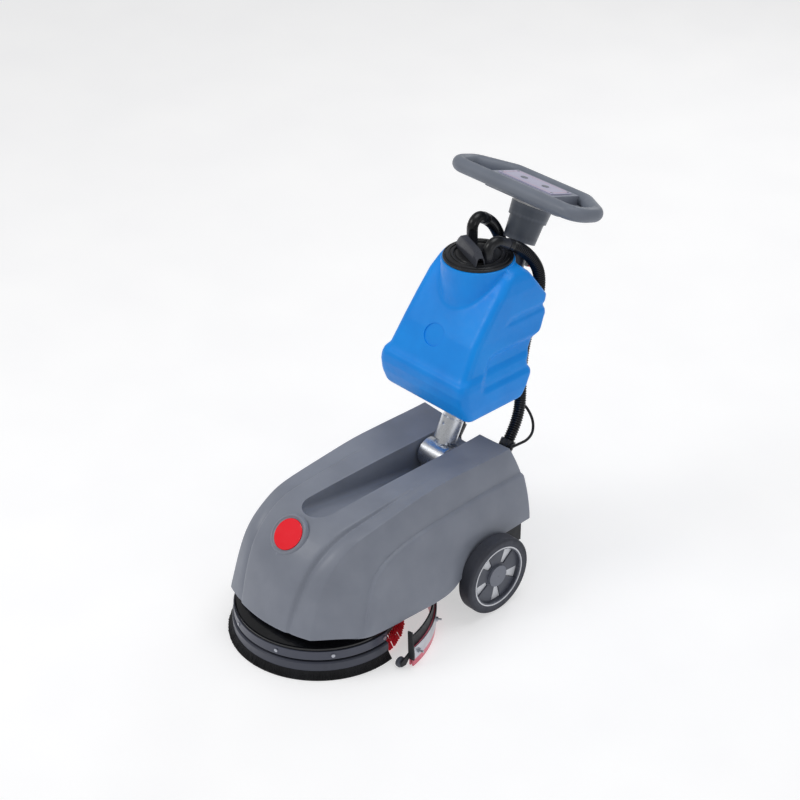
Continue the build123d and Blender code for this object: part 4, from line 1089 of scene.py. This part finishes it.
# thin border round the label
label = {"halfWidth": 80.0, "halfDepth": 30.0, "middle": 26.0, "line": 1.6, "level": 13.25}
border = []
for x0, y0, x1, y1 in ((-1, -1, 1, -1), (1, -1, 1, 1), (1, 1, -1, 1), (-1, 1, -1, -1)):
    a = (x0 * label["halfWidth"], label["middle"] + y0 * label["halfDepth"])
    b = (x1 * label["halfWidth"], label["middle"] + y1 * label["halfDepth"])
    side = (Vector(b) - Vector(a)).normalized() * label["line"]
    border.append([(a[0] - side.x, a[1] - side.y), (b[0] + side.x, b[1] + side.y), side])
points, faces = [], []
for a, b, side in border:
    n = (-side[1], side[0])
    base = len(points)
    for level in (label["level"] - 0.5, label["level"]):
        for place, sign in ((a, -1), (b, -1), (b, 1), (a, 1)):
            x, y = (v + m * sign * 0.5 for v, m in zip(place, n))
            points.append(onHandle(x, y, level))
    faces += [tuple(base + i for i in f) for f in (
        (0, 3, 2, 1), (4, 5, 6, 7), (0, 1, 5, 4), (1, 2, 6, 5), (2, 3, 7, 6), (3, 0, 4, 7))]
labelBorder = makePiece("labelBorder", points, faces)
finishPiece(labelBorder, "labelEdge", "mast", [], 30)
print("pivot discs and label border ready")

# thick moulded ring of the handle, slightly taller than it is wide
handle = {
    "across": 17.2,
    "up": 18.0,
    "bend": 38.0,
    "steps": 10,
    "around": 32,
    "corners": [(-200, -48), (200, -48), (200, 30), (112, 92), (-112, 92), (-200, 30)],
}
ringCorners = [Vector(corner) for corner in handle["corners"]]
ringPath = []
for i, corner in enumerate(ringCorners):
    before, after = ringCorners[i - 1], ringCorners[(i + 1) % len(ringCorners)]
    first, second = (before - corner).normalized(), (after - corner).normalized()
    reach = handle["bend"] / tan(first.angle(second) / 2)
    heart = corner + (first + second).normalized() * handle["bend"] / sin(first.angle(second) / 2)
    a, b = corner + first * reach - heart, corner + second * reach - heart
    for k in range(handle["steps"] + 1):
        t = k / handle["steps"]
        spot = heart + (a * (1 - t) + b * t).normalized() * handle["bend"]
        ringPath.append(onHandle(spot.x, spot.y, 0))
handleAngles = [2 * pi * j / handle["around"] for j in range(handle["around"])]
handleRings = []
for i, place in enumerate(ringPath):
    tangent = (ringPath[(i + 1) % len(ringPath)] - ringPath[i - 1]).normalized()
    outward = tangent.cross(handleUp).normalized() * handle["across"] * mm
    rise = handleUp * handle["up"] * mm
    handleRings.append([place + outward * cos(a) + rise * sin(a) for a in handleAngles])
handleRing = lofted("handleRing", handleRings, closed=True)
finishPiece(handleRing, "handle", "mast", ["handle_ring"], 50)
print("handle ready")

keptNodes = {
    "badge": ["front_badge"],
    "powder": ["chassis_tray", "squeegee_frame", "tank_bracket", "battery_strap",
               "brush_motor", "vacuum_motor", "fan_impeller"],
    "steel": ["axle", "drive_shaft", "driver_plate", "pivot_pin", "band_screws", "panel_screws",
              "squeegee_wing_nuts", "wheel_bearings_left", "wheel_bearings_right"],
    "chrome": ["lower_tube", "upper_tube", "pole_knuckle", "pivot_fork"],
    "deck": ["brush_deck"],
    "band": ["skirt_band", "skirt_channel"],
    "bristleBlack": ["skirt_bristles", "brush_block"],
    "battery": ["batteries", "controller_box"],
    "tyre": ["tyre_left", "tyre_right"],
    "hub": ["rim_left", "rim_right", "hub_cap_left", "hub_cap_right",
            "squeegee_roller_left", "squeegee_roller_right"],
    "silver": ["wheel_trim_left", "wheel_trim_right"],
    "blade": ["squeegee_front_blade", "squeegee_rear_blade"],
    "strip": ["squeegee_clamp_strip"],
    "handle": ["console_top", "console_base"],
    "neck": ["neck_housing", "brush_button", "suction_button"],
    "label": ["panel_plate"],
    "lid": ["lid_elbows", "tube_clamp"],
    "hose": ["cable_gland", "hose_inlets"],
    "knob": ["clamp_knob"],
}

# CAD pieces that keep their shape
for finish, names in keptNodes.items():
    for name in names:
        node = nodes[name]
        node.data.materials.clear()
        node.data.materials.append(finishes[finish])
